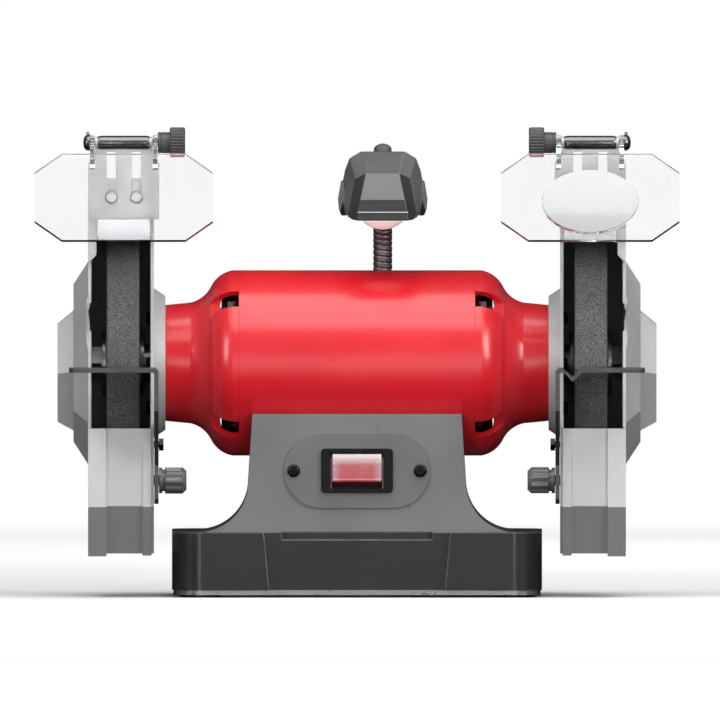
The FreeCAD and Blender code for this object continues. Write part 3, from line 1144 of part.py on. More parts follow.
def neck_elbow():
    """The last stretch: up, then a quarter turn forward to the ball that carries the lamp."""
    low = NECK_JOINTS[-1]
    tube = rod_z(NECK_R, low - SOCKET_LIP, ELBOW_START, LAMP_X, NECK_Y)
    tube = tube.cut(Part.makeSphere(SOCKET_R, vec(LAMP_X, NECK_Y, low)))
    circle = Part.Circle(vec(LAMP_X, NECK_Y, ELBOW_START), vec(0, 0, 1), NECK_R).toShape()
    disc = Part.Face(Part.Wire(circle))
    bend = disc.revolve(vec(LAMP_X, ELBOW_Y, ELBOW_START), vec(1, 0, 0), 90)
    stem = rod_y(STEM_R, HEAD_JOINT_Y, ELBOW_Y, LAMP_X, ELBOW_Z)
    ball = Part.makeSphere(BALL_JOINT_R, vec(LAMP_X, HEAD_JOINT_Y, ELBOW_Z))
    return tube.fuse([bend, stem, ball]).removeSplitter()


def hood_outline(inset):
    """The hood's cross-section over (x, z), seen from the front."""
    right = [(14.6, HOOD_BOTTOM), (24.2, HOOD_BOTTOM + 3.0), (26.2, HOOD_BOTTOM + 10.0), (24.8, HOOD_BOTTOM + 22.5),
             (19.6, HOOD_TOP - 4.2), (14.0, HOOD_TOP)]
    middle = (HOOD_BOTTOM + HOOD_TOP) / 2
    k = 1 - inset / (HOOD_TOP - middle)
    right = [(px * (1 - inset / 26.2), middle + (z - middle) * k) for px, z in right]
    return [(LAMP_X + px, z) for px, z in right] + [(LAMP_X - px, z) for px, z in reversed(right)]


def lamp_hood():
    body = prism_xz(hood_outline(0.0), HOOD_FRONT, HOOD_REAR)
    slope = prism_yz([(HOOD_FRONT - 1, HOOD_TOP + 1), (HOOD_FRONT - 1, HOOD_BOTTOM + 25),
                      (HOOD_FRONT + 12, HOOD_TOP + 1)], LAMP_X - 40, LAMP_X + 40)
    room = prism_xz(hood_outline(HOOD_WALL), HOOD_FRONT + HOOD_WALL, HOOD_REAR - HOOD_WALL)
    room = room.cut(slope.translated(vec(0, HOOD_WALL * 1.3, 0)))
    collar = rod_y(NECK_R + 1.2, HOOD_REAR - 12, HEAD_JOINT_Y + SOCKET_LIP, LAMP_X, ELBOW_Z)
    socket = Part.makeSphere(SOCKET_R, vec(LAMP_X, HEAD_JOINT_Y, ELBOW_Z))
    window = rod_z(LENS_R + 0.1, HOOD_BOTTOM - 1, HOOD_BOTTOM + HOOD_WALL + 1, LAMP_X, LENS_Y)
    button = rod_z(BUTTON_R + 0.15, HOOD_TOP - HOOD_WALL - 1, HOOD_TOP + 1, LAMP_X, LENS_Y)
    return body.cut([slope, room]).fuse(collar).cut([socket, window, button]).removeSplitter()


def lamp_lens():
    seat = HOOD_BOTTOM + HOOD_WALL
    flange = rod_z(LENS_R + 1.5, seat, seat + 1.5, LAMP_X, LENS_Y)
    barrel = rod_z(LENS_R, HOOD_BOTTOM - 0.5, seat, LAMP_X, LENS_Y)
    sag = 4.6
    ball_r = (LENS_R ** 2 + sag ** 2) / (2 * sag)
    dome = Part.makeSphere(ball_r, vec(LAMP_X, LENS_Y, HOOD_BOTTOM - 0.5 - sag + ball_r))
    cap = dome.common(rod_z(LENS_R, HOOD_BOTTOM - 0.5 - sag - 1, HOOD_BOTTOM - 0.5, LAMP_X, LENS_Y))
    return flange.fuse([barrel, cap]).removeSplitter()


def lamp_board():
    seat = HOOD_BOTTOM + HOOD_WALL + 1.5
    board = rod_z(LENS_R + 1.5, seat, seat + 1.6, LAMP_X, LENS_Y)
    sink = rod_z(8.0, seat + 1.6, seat + 12.0, LAMP_X, LENS_Y)
    return board.fuse(sink).removeSplitter()


def lamp_button():
    inner = HOOD_TOP - HOOD_WALL - 0.2
    flange = rod_z(BUTTON_R + 1.6, inner - 1.6, inner, LAMP_X, LENS_Y)
    cap = rod_z(BUTTON_R, inner, HOOD_TOP + 4.6, LAMP_X, LENS_Y)
    far = [e for e in cap.Edges if len(e.Vertexes) == 1 and e.CenterOfMass.z > HOOD_TOP + 4]
    return cap.makeFillet(3.0, far).fuse(flange).removeSplitter()


save("neck_socket", neck_socket())
for number, (low, high) in enumerate(zip(NECK_JOINTS, NECK_JOINTS[1:]), 1):
    save("neck_segment_%d" % number, neck_segment(low, high))
save("neck_elbow", neck_elbow())
save("lamp_hood", lamp_hood())
save("lamp_lens", lamp_lens())
save("lamp_board", lamp_board())
save("lamp_button", lamp_button())
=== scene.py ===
import json
import math

import bmesh
import bpy
from mathutils import Matrix, Vector


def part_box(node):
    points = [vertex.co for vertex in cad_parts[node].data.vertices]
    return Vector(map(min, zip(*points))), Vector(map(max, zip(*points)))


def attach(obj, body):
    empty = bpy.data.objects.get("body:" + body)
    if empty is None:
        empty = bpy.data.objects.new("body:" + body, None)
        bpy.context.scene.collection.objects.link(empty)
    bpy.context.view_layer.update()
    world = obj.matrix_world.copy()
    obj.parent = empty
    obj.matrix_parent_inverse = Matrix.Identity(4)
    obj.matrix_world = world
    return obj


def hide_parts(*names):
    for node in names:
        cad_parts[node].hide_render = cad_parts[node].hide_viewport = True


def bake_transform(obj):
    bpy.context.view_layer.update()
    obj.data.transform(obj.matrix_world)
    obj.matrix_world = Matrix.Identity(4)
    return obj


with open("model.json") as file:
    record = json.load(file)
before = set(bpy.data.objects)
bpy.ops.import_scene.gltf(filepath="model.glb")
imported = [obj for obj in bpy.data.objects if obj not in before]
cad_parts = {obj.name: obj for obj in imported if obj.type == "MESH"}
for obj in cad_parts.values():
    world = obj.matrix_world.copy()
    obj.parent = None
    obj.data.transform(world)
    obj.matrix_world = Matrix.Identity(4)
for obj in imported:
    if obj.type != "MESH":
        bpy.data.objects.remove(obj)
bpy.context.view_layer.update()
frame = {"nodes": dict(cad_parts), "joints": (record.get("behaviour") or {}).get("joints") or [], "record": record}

MM = 0.001
AXIS = frame["joints"][0]["pos_m"][2]
JOINTS = {j["name"]: j for j in frame["joints"]}
SIDES = {"left": -1, "right": 1}
SHIELD_LEAN = -30.0         # degrees that the shields lean at rest
ROCKER_LEAN = -7.0          # degrees that the rocker leans at rest
FOOT_TOP = 38.0             # height in mm where the base's foot ends and its column starts, and where the base's colour changes from painted shade to painted light
FLOOR_HALF = 40.0           # metres


# ---- shader helpers
def map_range(nodes, low, high, to_low, to_high):
    node = nodes.new("ShaderNodeMapRange")
    for name, number in (("From Min", low), ("From Max", high), ("To Min", to_low), ("To Max", to_high)):
        node.inputs[name].default_value = number
    return node


class Shader:
    """One procedural material, with short calls for the nodes that every finish here uses."""

    def __init__(self, name):
        self.material = bpy.data.materials.new(name)
        self.material.use_nodes = True
        self.nodes = self.material.node_tree.nodes
        self.links = self.material.node_tree.links
        self.surface = self.nodes["Principled BSDF"]
        self.place = self.nodes.new("ShaderNodeTexCoord").outputs["Object"]

    def set(self, **values):
        for name, value in values.items():
            self.surface.inputs[name.replace("_", " ")].default_value = value

    def stretched(self, scale):
        mapping = self.nodes.new("ShaderNodeMapping")
        mapping.inputs["Scale"].default_value = scale
        self.links.new(self.place, mapping.inputs["Vector"])
        return mapping.outputs["Vector"]

    def noise(self, scale, detail=3.0, stretch=None):
        node = self.nodes.new("ShaderNodeTexNoise")
        node.inputs["Scale"].default_value = scale
        node.inputs["Detail"].default_value = detail
        place = self.stretched(stretch) if stretch else self.place
        self.links.new(place, node.inputs["Vector"])
        return node.outputs["Fac"]

    def cells(self, scale):
        node = self.nodes.new("ShaderNodeTexVoronoi")
        node.inputs["Scale"].default_value = scale
        self.links.new(self.place, node.inputs["Vector"])
        return node.outputs["Distance"]

    def remap(self, value, low, high, to_low, to_high):
        node = map_range(self.nodes, low, high, to_low, to_high)
        self.links.new(value, node.inputs["Value"])
        return node.outputs["Result"]

    def times(self, a, b):
        node = self.nodes.new("ShaderNodeMath")
        node.operation = "MULTIPLY"
        self.links.new(a, node.inputs[0])
        self.links.new(b, node.inputs[1])
        return node.outputs[0]

    def mix(self, share, a, b):
        """A colour between a and b, each of which is a colour or another node's output."""
        node = self.nodes.new("ShaderNodeMix")
        node.data_type = "RGBA"
        self.links.new(share, node.inputs["Factor"])
        for socket, value in ((node.inputs[6], a), (node.inputs[7], b)):
            if isinstance(value, tuple):
                socket.default_value = (*value, 1)
            else:
                self.links.new(value, socket)
        return node.outputs[2]

    def place_on(self, axis):
        node = self.nodes.new("ShaderNodeSeparateXYZ")
        self.links.new(self.place, node.inputs[0])
        return node.outputs[axis]

    def rounded(self, radius):
        node = self.nodes.new("ShaderNodeBevel")
        node.samples = 4
        node.inputs["Radius"].default_value = radius
        return node.outputs["Normal"]

    def edges(self, rounded):
        """1 on an outer or inner edge and 0 on the flat, from how far the rounded normal turns."""
        flat = self.nodes.new("ShaderNodeNewGeometry").outputs["Normal"]
        dot = self.nodes.new("ShaderNodeVectorMath")
        dot.operation = "DOT_PRODUCT"
        self.links.new(rounded, dot.inputs[0])
        self.links.new(flat, dot.inputs[1])
        return self.remap(dot.outputs["Value"], 0.96, 0.75, 0.0, 1.0)

    def bump(self, height, distance, normal=None, strength=1.0):
        node = self.nodes.new("ShaderNodeBump")
        node.inputs["Strength"].default_value = strength
        node.inputs["Distance"].default_value = distance
        self.links.new(height, node.inputs["Height"])
        if normal:
            self.links.new(normal, node.inputs["Normal"])
        return node.outputs["Normal"]

    def to(self, output, name):
        self.links.new(output, self.surface.inputs[name])


def shade(colour, factor):
    return tuple(min(1.0, c * factor) for c in colour)


def finish(name, colour, spread=0.12, patch=28.0, rough=(0.35, 0.5), grain=900.0, depth=0.03, wear=None,
           worn=0.35, corner=0.5, stretch=None, **sockets):
    """A worn, slightly uneven finish. Lengths are in millimetres and noise scales per metre."""
    s = Shader(name)
    s.set(**sockets)
    patches = s.noise(patch, 4.0, stretch)
    tint = s.mix(s.remap(patches, 0.3, 0.7, 0.0, 1.0), shade(colour, 1 - spread), shade(colour, 1 + spread))
    rounded = s.rounded(corner * MM)
    if wear:
        scuffs = s.remap(s.noise(patch * 9, 5.0), 0.45, 0.7, 0.0, worn)
        tint = s.mix(s.times(s.edges(rounded), scuffs), tint, wear)
    s.to(tint, "Base Color")
    s.to(s.remap(s.noise(patch * 3, 5.0, stretch), 0.3, 0.7, *rough), "Roughness")
    s.to(s.bump(s.noise(grain, 2.0, stretch), depth * MM, rounded), "Normal")
    return s.material


# ---- materials
def red_paint():
    """Glossy red enamel with a faint orange peel, chipped a little along its edges."""
    return finish("red_paint", (0.60, 0.010, 0.018), 0.05, 22.0, (0.26, 0.36), 620.0, 0.012, (0.75, 0.16, 0.13),
                  0.25, 0.6, Coat_Weight=0.35, Coat_Roughness=0.14, Specular_IOR_Level=0.5)


def base_paint():
    """Charcoal satin paint on a casting with its fine skin; painted shade makes the foot near black and painted
    light the column grey, with painted highlights on the foot's edges and painted shade on the column's.
    """
    s = Shader("base_paint")
    s.set(Specular_IOR_Level=0.4, Coat_Weight=0.25, Coat_Roughness=0.16)
    # The foot below FOOT_TOP is painted near black as painted shade and the column lighter grey as painted light;
    # one paint covers the whole casting.
    column = s.remap(s.place_on("Z"), (FOOT_TOP - 0.5) * MM, (FOOT_TOP + 0.5) * MM, 0.0, 1.0)
    paint = s.mix(column, (0.008, 0.008, 0.009), (0.118, 0.118, 0.120))
    dust_and_painted_shade = s.mix(column, (0.011, 0.011, 0.012), (0.142, 0.142, 0.145))
    # Edge colour: pale on the foot as a painted highlight, near black on the column as painted shade, broken up by
    # the scuff noise.
    edge = s.mix(column, (0.40, 0.40, 0.41), (0.03, 0.03, 0.03))
    rounded = s.rounded(0.9 * MM)
    tint = s.mix(s.remap(s.noise(22.0, 4.0), 0.3, 0.7, 0.0, 1.0), paint, dust_and_painted_shade)
    scuffs = s.remap(s.noise(190.0, 5.0), 0.35, 0.65, 0.3, 0.8)
    s.to(s.mix(s.times(s.edges(rounded), scuffs), tint, edge), "Base Color")
    s.to(s.remap(s.noise(60.0, 5.0), 0.3, 0.7, 0.27, 0.4), "Roughness")
    s.to(s.bump(s.noise(700.0, 2.0), 0.03 * MM, rounded), "Normal")
    return s.material


def silver_paint(name, colour):
    """Silver paint on pressed sheet or a die casting, with its metal flake."""
    return finish(name, colour, 0.05, 16.0, (0.42, 0.54), 1500.0, 0.02, (0.80, 0.80, 0.81), 0.5, 0.5,
                  Metallic=0.45)


def abrasive():
    """Grey vitrified grit: packed grains, open pores and darker patches where it has cut steel."""
    s = Shader("abrasive")
    grit = s.noise(1500.0, 6.0)
    grains = s.mix(s.remap(grit, 0.35, 0.65, 0.0, 1.0), (0.020, 0.020, 0.021), (0.15, 0.15, 0.155))
    s.to(s.mix(s.remap(s.noise(60.0, 4.0), 0.4, 0.65, 0.0, 0.45), grains, (0.045, 0.044, 0.043)), "Base Color")
    s.to(s.remap(grit, 0.3, 0.7, 0.95, 0.6), "Roughness")
    pores = s.bump(s.cells(900.0), 0.25 * MM, None, 0.6)
    s.to(s.bump(grit, 0.2 * MM, pores, 0.7), "Normal")
    return s.material


def clear_sheet(name, colour, roughness, scratch):
    """Clear polycarbonate with fine scratches from use."""
    s = Shader(name)
    s.set(Transmission_Weight=1.0, IOR=1.45, Specular_IOR_Level=0.5)
    haze = s.noise(35.0, 5.0)
    s.to(s.mix(s.remap(haze, 0.3, 0.7, 0.0, 1.0), colour, shade(colour, 1.03)), "Base Color")
    s.to(s.remap(s.noise(240.0, 6.0, (1.0, 0.15, 0.15)), 0.35, 0.75, *roughness), "Roughness")
    s.to(s.bump(s.noise(700.0, 3.0, (1.0, 0.1, 0.1)), scratch * MM), "Normal")
    return s.material


def lens_glass():
    """The magnifier's milky moulded plastic."""
    s = Shader("lens_glass")
    s.set(Transmission_Weight=0.12, IOR=1.45, Specular_IOR_Level=0.5, Coat_Weight=0.5, Coat_Roughness=0.1)
    s.to(s.mix(s.noise(20.0, 3.0), (0.43, 0.44, 0.45), (0.48, 0.49, 0.50)), "Base Color")
    s.to(s.remap(s.noise(90.0, 4.0), 0.3, 0.7, 0.16, 0.3), "Roughness")
    return s.material


def red_rocker():
    """Translucent red plastic, saturated in the middle, with a paler painted sheen towards its sides, a painted
    highlight along its top and a band of painted shade under its lip.
    """
    s = Shader("red_rocker")
    s.set(Transmission_Weight=0.1, Coat_Weight=0.8, Coat_Roughness=0.12, IOR=1.49)
    low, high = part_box("switch_rocker")
    reach = s.nodes.new("ShaderNodeMath")
    reach.operation = "ABSOLUTE"
    s.links.new(s.place_on("X"), reach.inputs[0])
    middle = s.mix(s.noise(70.0, 3.0), (0.38, 0.060, 0.070), (0.47, 0.10, 0.11))
    # Paler towards the sides: painted sheen.
    sides = s.mix(s.remap(reach.outputs[0], 9.0 * MM, 13.5 * MM, 0.0, 0.75), middle, (0.48, 0.27, 0.31))
    # A pale band near the top: painted highlight.
    rim = s.remap(s.place_on("Z"), high.z - 7.0 * MM, high.z - 2.4 * MM, 0.0, 0.9)
    top = s.mix(rim, sides, (0.66, 0.58, 0.58))
    # A near black band along the bottom: painted shade under the lip.
    under = s.remap(s.place_on("Z"), low.z + 3.6 * MM, low.z + 3.3 * MM, 0.0, 1.0)
    s.to(s.mix(under, top, (0.045, 0.002, 0.004)), "Base Color")
    s.to(s.remap(s.noise(300.0, 3.0), 0.3, 0.7, 0.18, 0.3), "Roughness")
    s.to(s.bump(s.noise(1800.0, 2.0), 0.01 * MM), "Normal")
    return s.material


def lamp_lens_plastic():
    """Frosted clear plastic over the lamp's diode, with a faint painted glow in place of the light it gathers."""
    s = Shader("lamp_lens_plastic")
    # The emission is a painted glow.
    s.set(Transmission_Weight=0.15, IOR=1.45, Coat_Weight=0.5, Coat_Roughness=0.08,
          Emission_Color=(1.0, 0.86, 0.85, 1), Emission_Strength=0.42)
    s.to(s.mix(s.noise(120.0, 3.0), (0.95, 0.80, 0.79), (0.98, 0.90, 0.89)), "Base Color")
    s.to(s.remap(s.noise(400.0, 3.0), 0.3, 0.7, 0.15, 0.35), "Roughness")
    s.to(s.bump(s.noise(650.0), 0.02 * MM), "Normal")
    return s.material


def metal(name, colour, rough=(0.25, 0.4), brushed=(1.0, 1.0, 1.0), grain=900.0, depth=0.015):
    """Bare, plated or blackened metal; brushed stretches its grain across the larger numbers."""
    return finish(name, colour, 0.08, 60.0, rough, grain, depth, shade(colour, 1.5), 0.4, 0.3, brushed,
                  Metallic=1.0)


def plastic(name, colour, rough=(0.38, 0.52), grain=1400.0, depth=0.02, gloss=0.5):
    """Moulded plastic or rubber with a fine grain, rubbed paler on its edges."""
    return finish(name, colour, 0.10, 40.0, rough, grain, depth, shade(colour, 2.4), 0.25, 0.4,
                  Specular_IOR_Level=gloss)


RED = red_paint()
BLACK_OXIDE = metal("black_oxide", (0.030, 0.030, 0.032), (0.14, 0.26))
DARK_STEEL = metal("dark_steel", (0.16, 0.16, 0.165), (0.18, 0.3), (1.0, 12.0, 12.0))
GREY_LIP = plastic("grey_lip", (0.22, 0.22, 0.22))
HOOD = plastic("hood_plastic", (0.100, 0.100, 0.103))
# A darker copy of the hood plastic for the hood's up-facing faces: painted shade.
HOOD_TOP_SHADE = plastic("hood_top_painted_shade", (0.036, 0.036, 0.038))
REST_KNOB = plastic("rest_knob_plastic", (0.11, 0.11, 0.112), (0.22, 0.32), 1400.0, 0.02, 0.8)
NOTCH = plastic("notch_plastic", (0.012, 0.001, 0.003), (0.4, 0.5), 1400.0, 0.02, 0.2)
# Dark plastic for the hood's bands and collar, also used on its down-facing faces as painted shade.
HOOD_DARK_AND_SHADE = plastic("hood_band_and_shade_plastic", (0.022, 0.022, 0.023), (0.3, 0.42))
KNOB = plastic("knob_plastic", (0.050, 0.050, 0.053))
SLOT_MATERIALS = {
    "base_paint": base_paint(),
    "cover_steel": metal("cover_steel", (0.32, 0.32, 0.33)),
    "foot_rubber": plastic("foot_rubber", (0.018, 0.018, 0.018), (0.6, 0.8), 1100.0, 0.05, 0.3),
    "zinc_steel": metal("zinc_steel", (0.55, 0.56, 0.57), (0.25, 0.4)),
    "plate_plastic": plastic("plate_plastic", (0.105, 0.105, 0.107), (0.35, 0.45), 1800.0, 0.03),
    "black_plastic": plastic("black_plastic", (0.003, 0.003, 0.003), (0.25, 0.35), 1400.0, 0.02, 0.2),
    "rocker_red": red_rocker(),
    "capacitor_can": metal("capacitor_can", (0.6, 0.61, 0.62)),
    "terminal_plastic": plastic("terminal_plastic", (0.6, 0.58, 0.52)),
    "bushing_rubber": plastic("bushing_rubber", (0.014, 0.014, 0.014), (0.5, 0.7), 1100.0, 0.04, 0.3),
    "motor_red": RED,
    "bell_red": RED,
    "lamination_steel": metal("lamination_steel", (0.25, 0.25, 0.27), (0.4, 0.6), (40.0, 1.0, 1.0), 60.0, 0.08),
    "copper_winding": metal("copper_winding", (0.55, 0.22, 0.09), (0.2, 0.35), (1.0, 6.0, 6.0), 300.0, 0.2),
    "shaft_steel": metal("shaft_steel", (0.45, 0.45, 0.46), (0.2, 0.3), (12.0, 1.0, 1.0)),
    "fan_plastic": plastic("fan_plastic", (0.05, 0.05, 0.05)),
    "bearing_steel": metal("bearing_steel", (0.6, 0.6, 0.61), (0.1, 0.2)),
    "spring_steel": metal("spring_steel", (0.35, 0.35, 0.37)),
    "abrasive": abrasive(),
    "flange_steel": metal("flange_steel", (0.42, 0.42, 0.43), (0.28, 0.4)),
    "blotter_paper": plastic("blotter_paper", (0.16, 0.18, 0.2), (0.7, 0.9), 800.0, 0.05, 0.2),
    "guard_silver": silver_paint("guard_silver", (0.50, 0.51, 0.515)),
    "cover_silver": silver_paint("cover_silver", (0.56, 0.57, 0.575)),
    "rest_black": finish("rest_black", (0.030, 0.030, 0.032), 0.12, 40.0, (0.32, 0.46), 800.0, 0.02,
                         (0.34, 0.34, 0.35), 0.6, 0.4, Specular_IOR_Level=0.7),
    "knob_black": KNOB,
    "arrestor_steel": metal("arrestor_steel", (0.42, 0.42, 0.43), (0.3, 0.42), (1.0, 1.0, 14.0)),
    "bracket_steel": silver_paint("bracket_steel", (0.46, 0.465, 0.47)),
    "clear_shield": clear_sheet("clear_shield", (0.76, 0.77, 0.77), (0.01, 0.09), 0.003),
    "lens_clear": lens_glass(),
    "neck_steel": metal("neck_steel", (0.20, 0.21, 0.21), (0.34, 0.46)),
    "hood_grey": HOOD,
    "lamp_lens_clear": lamp_lens_plastic(),
    "board_white": plastic("board_white", (0.7, 0.7, 0.68)),
    "button_grey": plastic("button_grey", (0.085, 0.085, 0.088), (0.4, 0.5), 1500.0, 0.03),
}
NODE_MATERIALS = {
    "tie_bolts": BLACK_OXIDE,
    "bracket_screws": metal("worn_zinc", (0.30, 0.30, 0.31)),
    "pan_head_screws": BLACK_OXIDE,
    "guard_mount_screws": BLACK_OXIDE,
    "rest_guide_bolts": BLACK_OXIDE,
    "rest_clamp_bolts": BLACK_OXIDE,
}
for part in frame["record"]["subparts"]:
    node = frame["nodes"][part["node"]]
    material = NODE_MATERIALS.get(part["node"], SLOT_MATERIALS[part["material_slot"]])
    node.data.materials.clear()
    node.data.materials.append(material)


# ---- mesh helpers
def new_piece(name, points, faces, materials, sharp=35.0):
    """A mesh object from points in metres, with its normals outward and smooth except at sharp edges."""
    mesh = bpy.data.meshes.new(name)
    mesh.from_pydata([tuple(p) for p in points], [], faces)
    work = bmesh.new()
    work.from_mesh(mesh)
    bmesh.ops.remove_doubles(work, verts=work.verts, dist=1e-7)
    bmesh.ops.recalc_face_normals(work, faces=work.faces)
    work.to_mesh(mesh)
    work.free()
    mesh.shade_smooth()
    mesh.set_sharp_from_angle(angle=math.radians(sharp))
    for material in materials:
        mesh.materials.append(material)
    piece = bpy.data.objects.new(name, mesh)
    bpy.context.scene.collection.objects.link(piece)
    return piece


def soften(piece, width, segments=2, angle=25.0):
    bevel = piece.modifiers.new("soften", "BEVEL")
    bevel.width = width * MM
    bevel.segments = segments
    bevel.angle_limit = math.radians(angle)
    bevel.harden_normals = True


def basis(direction):
    """The given direction at length 1, and two directions across it."""
    along = Vector(direction).normalized()
    side = along.orthogonal().normalized()
    return along, side, along.cross(side)


def rings(points, normals, radius, turns):
    """Rings of points about each centre; radius(i, angle) is in metres."""
    made = []
    for i, (centre, (side, up)) in enumerate(zip(points, normals)):
        for k in range(turns):
            a = 2 * math.pi * k / turns
            made.append(centre + (side * math.cos(a) + up * math.sin(a)) * radius(i, a))
    return made


def ring_faces(count, turns, capped=True, first=0):
    """The faces between rings that follow each other; first is the number of the first ring's first point."""
    faces = []
    for i in range(count - 1):
        near, far = first + i * turns, first + (i + 1) * turns
        for k in range(turns):
            n = (k + 1) % turns
            faces.append((near + k, near + n, far + n, far + k))
    if capped:
        faces.append(tuple(range(turns)))
        faces.append(tuple(range((count - 1) * turns, count * turns)))
    return faces


def lathe(name, origin, direction, profile, materials, turns=64, teeth=None, sharp=35.0, capped=True):
    """A turned piece: profile is (distance along, radius, tooth depth) in millimetres."""
    along, side, up = basis(direction)
    centres = [Vector(origin) + along * t * MM for t, r, d in profile]

    def radius(i, angle):
        t, r, depth = profile[i]
        return (r - (teeth(angle) * depth if teeth and depth else 0.0)) * MM

    points = rings(centres, [(side, up)] * len(profile), radius, turns)
    return new_piece(name, points, ring_faces(len(profile), turns, capped), materials, sharp)


def prism(name, outline, place, materials, sharp=35.0):
    """A prism over an outline; place(p, end) gives the point of corner p at the near (0) or far (1) end."""
    count = len(outline)
    points = [place(p, end) for end in (0, 1) for p in outline]
    faces = [(i, (i + 1) % count, count + (i + 1) % count, count + i) for i in range(count)]
    faces += [tuple(range(count)), tuple(range(count, 2 * count))]
    return new_piece(name, points, faces, materials, sharp)


def joint_at(name):
    return Vector(JOINTS[name]["pos_m"])


def near_end(node, sign, pivot):
    """Where a side piece's turning axis leaves it towards the grinder's middle, and its length in mm."""
    low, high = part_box(node)
    return Vector((low.x if sign > 0 else high.x, pivot.y, pivot.z)), (high.x - low.x) / MM


# ---- eye shields
def knurls(count, sharpness):
    """Straight knurling: narrow grooves between flat lands, count of them around the knob."""
    def depth(angle):
        phase = (angle * count / (2 * math.pi)) % 1.0
        return max(0.0, 1 - abs(phase - 0.5) * sharpness)
    return depth


def shield_knob(side, sign):
    """The clamp knob: a knurled grip with a chamfered outer end, and a smooth collar towards the shield."""
    low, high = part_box("shield_knob_" + side)
    outer, length = near_end("shield_knob_" + side, sign, joint_at("shield_tilt_" + side))
    grip_r = (high.z - low.z) / 2 / MM
    grip = length * 9 / 16
    collar_r = grip_r * 0.683
    profile = [
        (0.0, grip_r - 2.6, 0), (0.0, grip_r - 1.0, 0), (0.35, grip_r - 0.35, 0), (1.0, grip_r, 0),
        (1.15, grip_r, 0.65), (grip - 0.9, grip_r, 0.65), (grip - 0.6, grip_r - 0.1, 0),
        (grip, grip_r - 0.8, 0),
        (grip, collar_r, 0), (length - 2.2, collar_r, 0), (length - 2.1, collar_r - 0.3, 0),
        (length - 1.7, collar_r - 0.3, 0), (length - 1.6, collar_r, 0), (length - 0.3, collar_r, 0),
        (length, collar_r - 0.3, 0), (length, 2.2, 0),
    ]
    piece = lathe("knurled_knob_" + side, outer, (sign, 0, 0), profile, [KNOB], 240, knurls(30, 3.0))
    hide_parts("shield_knob_" + side)
    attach(piece, "shield_knob_" + side)


def shield_bolt(side, sign):
    """The pivot bolt: a domed cap with a small anti-turn tab beyond the outer ear, and its shank."""
    pivot = joint_at("shield_tilt_" + side)
    start, length = near_end("shield_bolt_" + side, sign, pivot)
    cap = [(4.0, 4.7), (3.4, 4.7), (2.2, 4.55), (1.2, 4.0), (0.5, 3.0), (0.1, 1.5), (0.0, 0.3)]
    profile = [(0.0, 1.6, 0), (0.4, 2.0, 0), (length - 4.0, 2.0, 0)]
    profile += [(length - back, r, 0) for back, r in cap]
    piece = lathe("pivot_bolt_" + side, start, (sign, 0, 0), profile, [DARK_STEEL], 48, None, 50.0)
    tab_x = start.x + sign * (length - 3.6) * MM
    outline = [(0, 4.3), (1.9, 4.3), (1.9, 5.9), (1.5, 6.3), (0.4, 6.3), (0, 5.9)]
    tab = prism("pivot_bolt_tab_" + side, outline,
                lambda p, end: (tab_x + sign * p[0] * MM, pivot.y + (end * 2 - 1) * 0.9 * MM,
                                pivot.z + p[1] * MM),
                [DARK_STEEL])
    soften(tab, 0.2)
    for made in (piece, tab):
        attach(made, "shield_" + side)
    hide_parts("shield_bolt_" + side)


def bracket_barrel(side):
    """The dark sleeve on the bracket's rolled edge, drawn in to a cone at each end."""
    pivot = joint_at("shield_tilt_" + side)
    half = 16.6
    profile = [
        (-half, 2.5, 0), (-half, 3.0, 0), (-half + 2.6, 3.95, 0), (-half + 3.2, 4.05, 0), (half - 3.2, 4.05, 0),
        (half - 2.6, 3.95, 0), (half, 3.0, 0), (half, 2.5, 0),
    ]
    piece = lathe("pivot_sleeve_" + side, pivot, (1, 0, 0), profile, [DARK_STEEL], 64, None, 30.0)
    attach(piece, "bracket_" + side)


def magnifier():
    """An oval lens set in the right shield, domed at the front and slightly hollow at the back."""
    pivot = joint_at("shield_tilt_right")
    drop, back, half_x, half_z, rim, dome = 43.8, 5.0, 27.9, 20.7, 4.1, 3.2
    steps, turns = 9, 72
    points, faces = [], []
    for front in (1, 0):
        for i in range(1, steps + 1):
            r = i / steps
            d = back + (rim + dome * (1 - r ** 2.4) if front else -0.6 * (1 - r * r) + 0.1)
            for k in range(turns):
                a = 2 * math.pi * k / turns
                points.append(Vector((half_x * r * math.cos(a), -d, half_z * r * math.sin(a) - drop)))
    layer = steps * turns
    for first in (0, layer):
        faces += ring_faces(steps, turns, False, first)
        faces.append(tuple(range(first, first + turns)))
    rim_start = (steps - 1) * turns
    for k in range(turns):
        n = (k + 1) % turns
        faces.append((rim_start + k, rim_start + n, layer + rim_start + n, layer + rim_start + k))
    tilt = Matrix.Rotation(math.radians(SHIELD_LEAN), 3, "X")
    placed = [pivot + tilt @ (p * MM) for p in points]
    piece = new_piece("magnifier_dome", placed, faces, [SLOT_MATERIALS["lens_clear"]], 40.0)
    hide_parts("magnifier_lens")
    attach(piece, "shield_right")


# ---- tool rests
def rest_knob(side, sign):
    """The clamp knob under a tool rest: flange, groove, a grip of broad flutes and a chamfered end."""
    low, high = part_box("rest_knob_" + side)
    outer, length = near_end("rest_knob_" + side, sign, joint_at("rest_knob_turn_" + side))
    r = (high.z - low.z) / 2 / MM
    profile = [
        (0.0, r - 4.4, 0), (0.0, r - 2.4, 0), (2.2, r - 0.2, 0), (2.5, r, 0.4), (2.9, r, 1.0),
        (length - 4.4, r, 1.0), (length - 4.0, r, 0.4), (length - 3.7, r - 0.2, 0), (length - 3.4, 6.3, 0),
        (length - 2.1, 6.3, 0), (length - 1.9, r - 0.3, 0), (length - 0.2, r - 0.3, 0), (length, r - 0.6, 0),
        (length, 3.4, 0),
    ]
    piece = lathe("fluted_knob_" + side, outer, (sign, 0, 0), profile, [REST_KNOB], 180,
                  lambda a: 0.5 - 0.5 * math.cos(a * 9))
    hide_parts("rest_knob_" + side)
    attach(piece, "rest_knob_" + side)


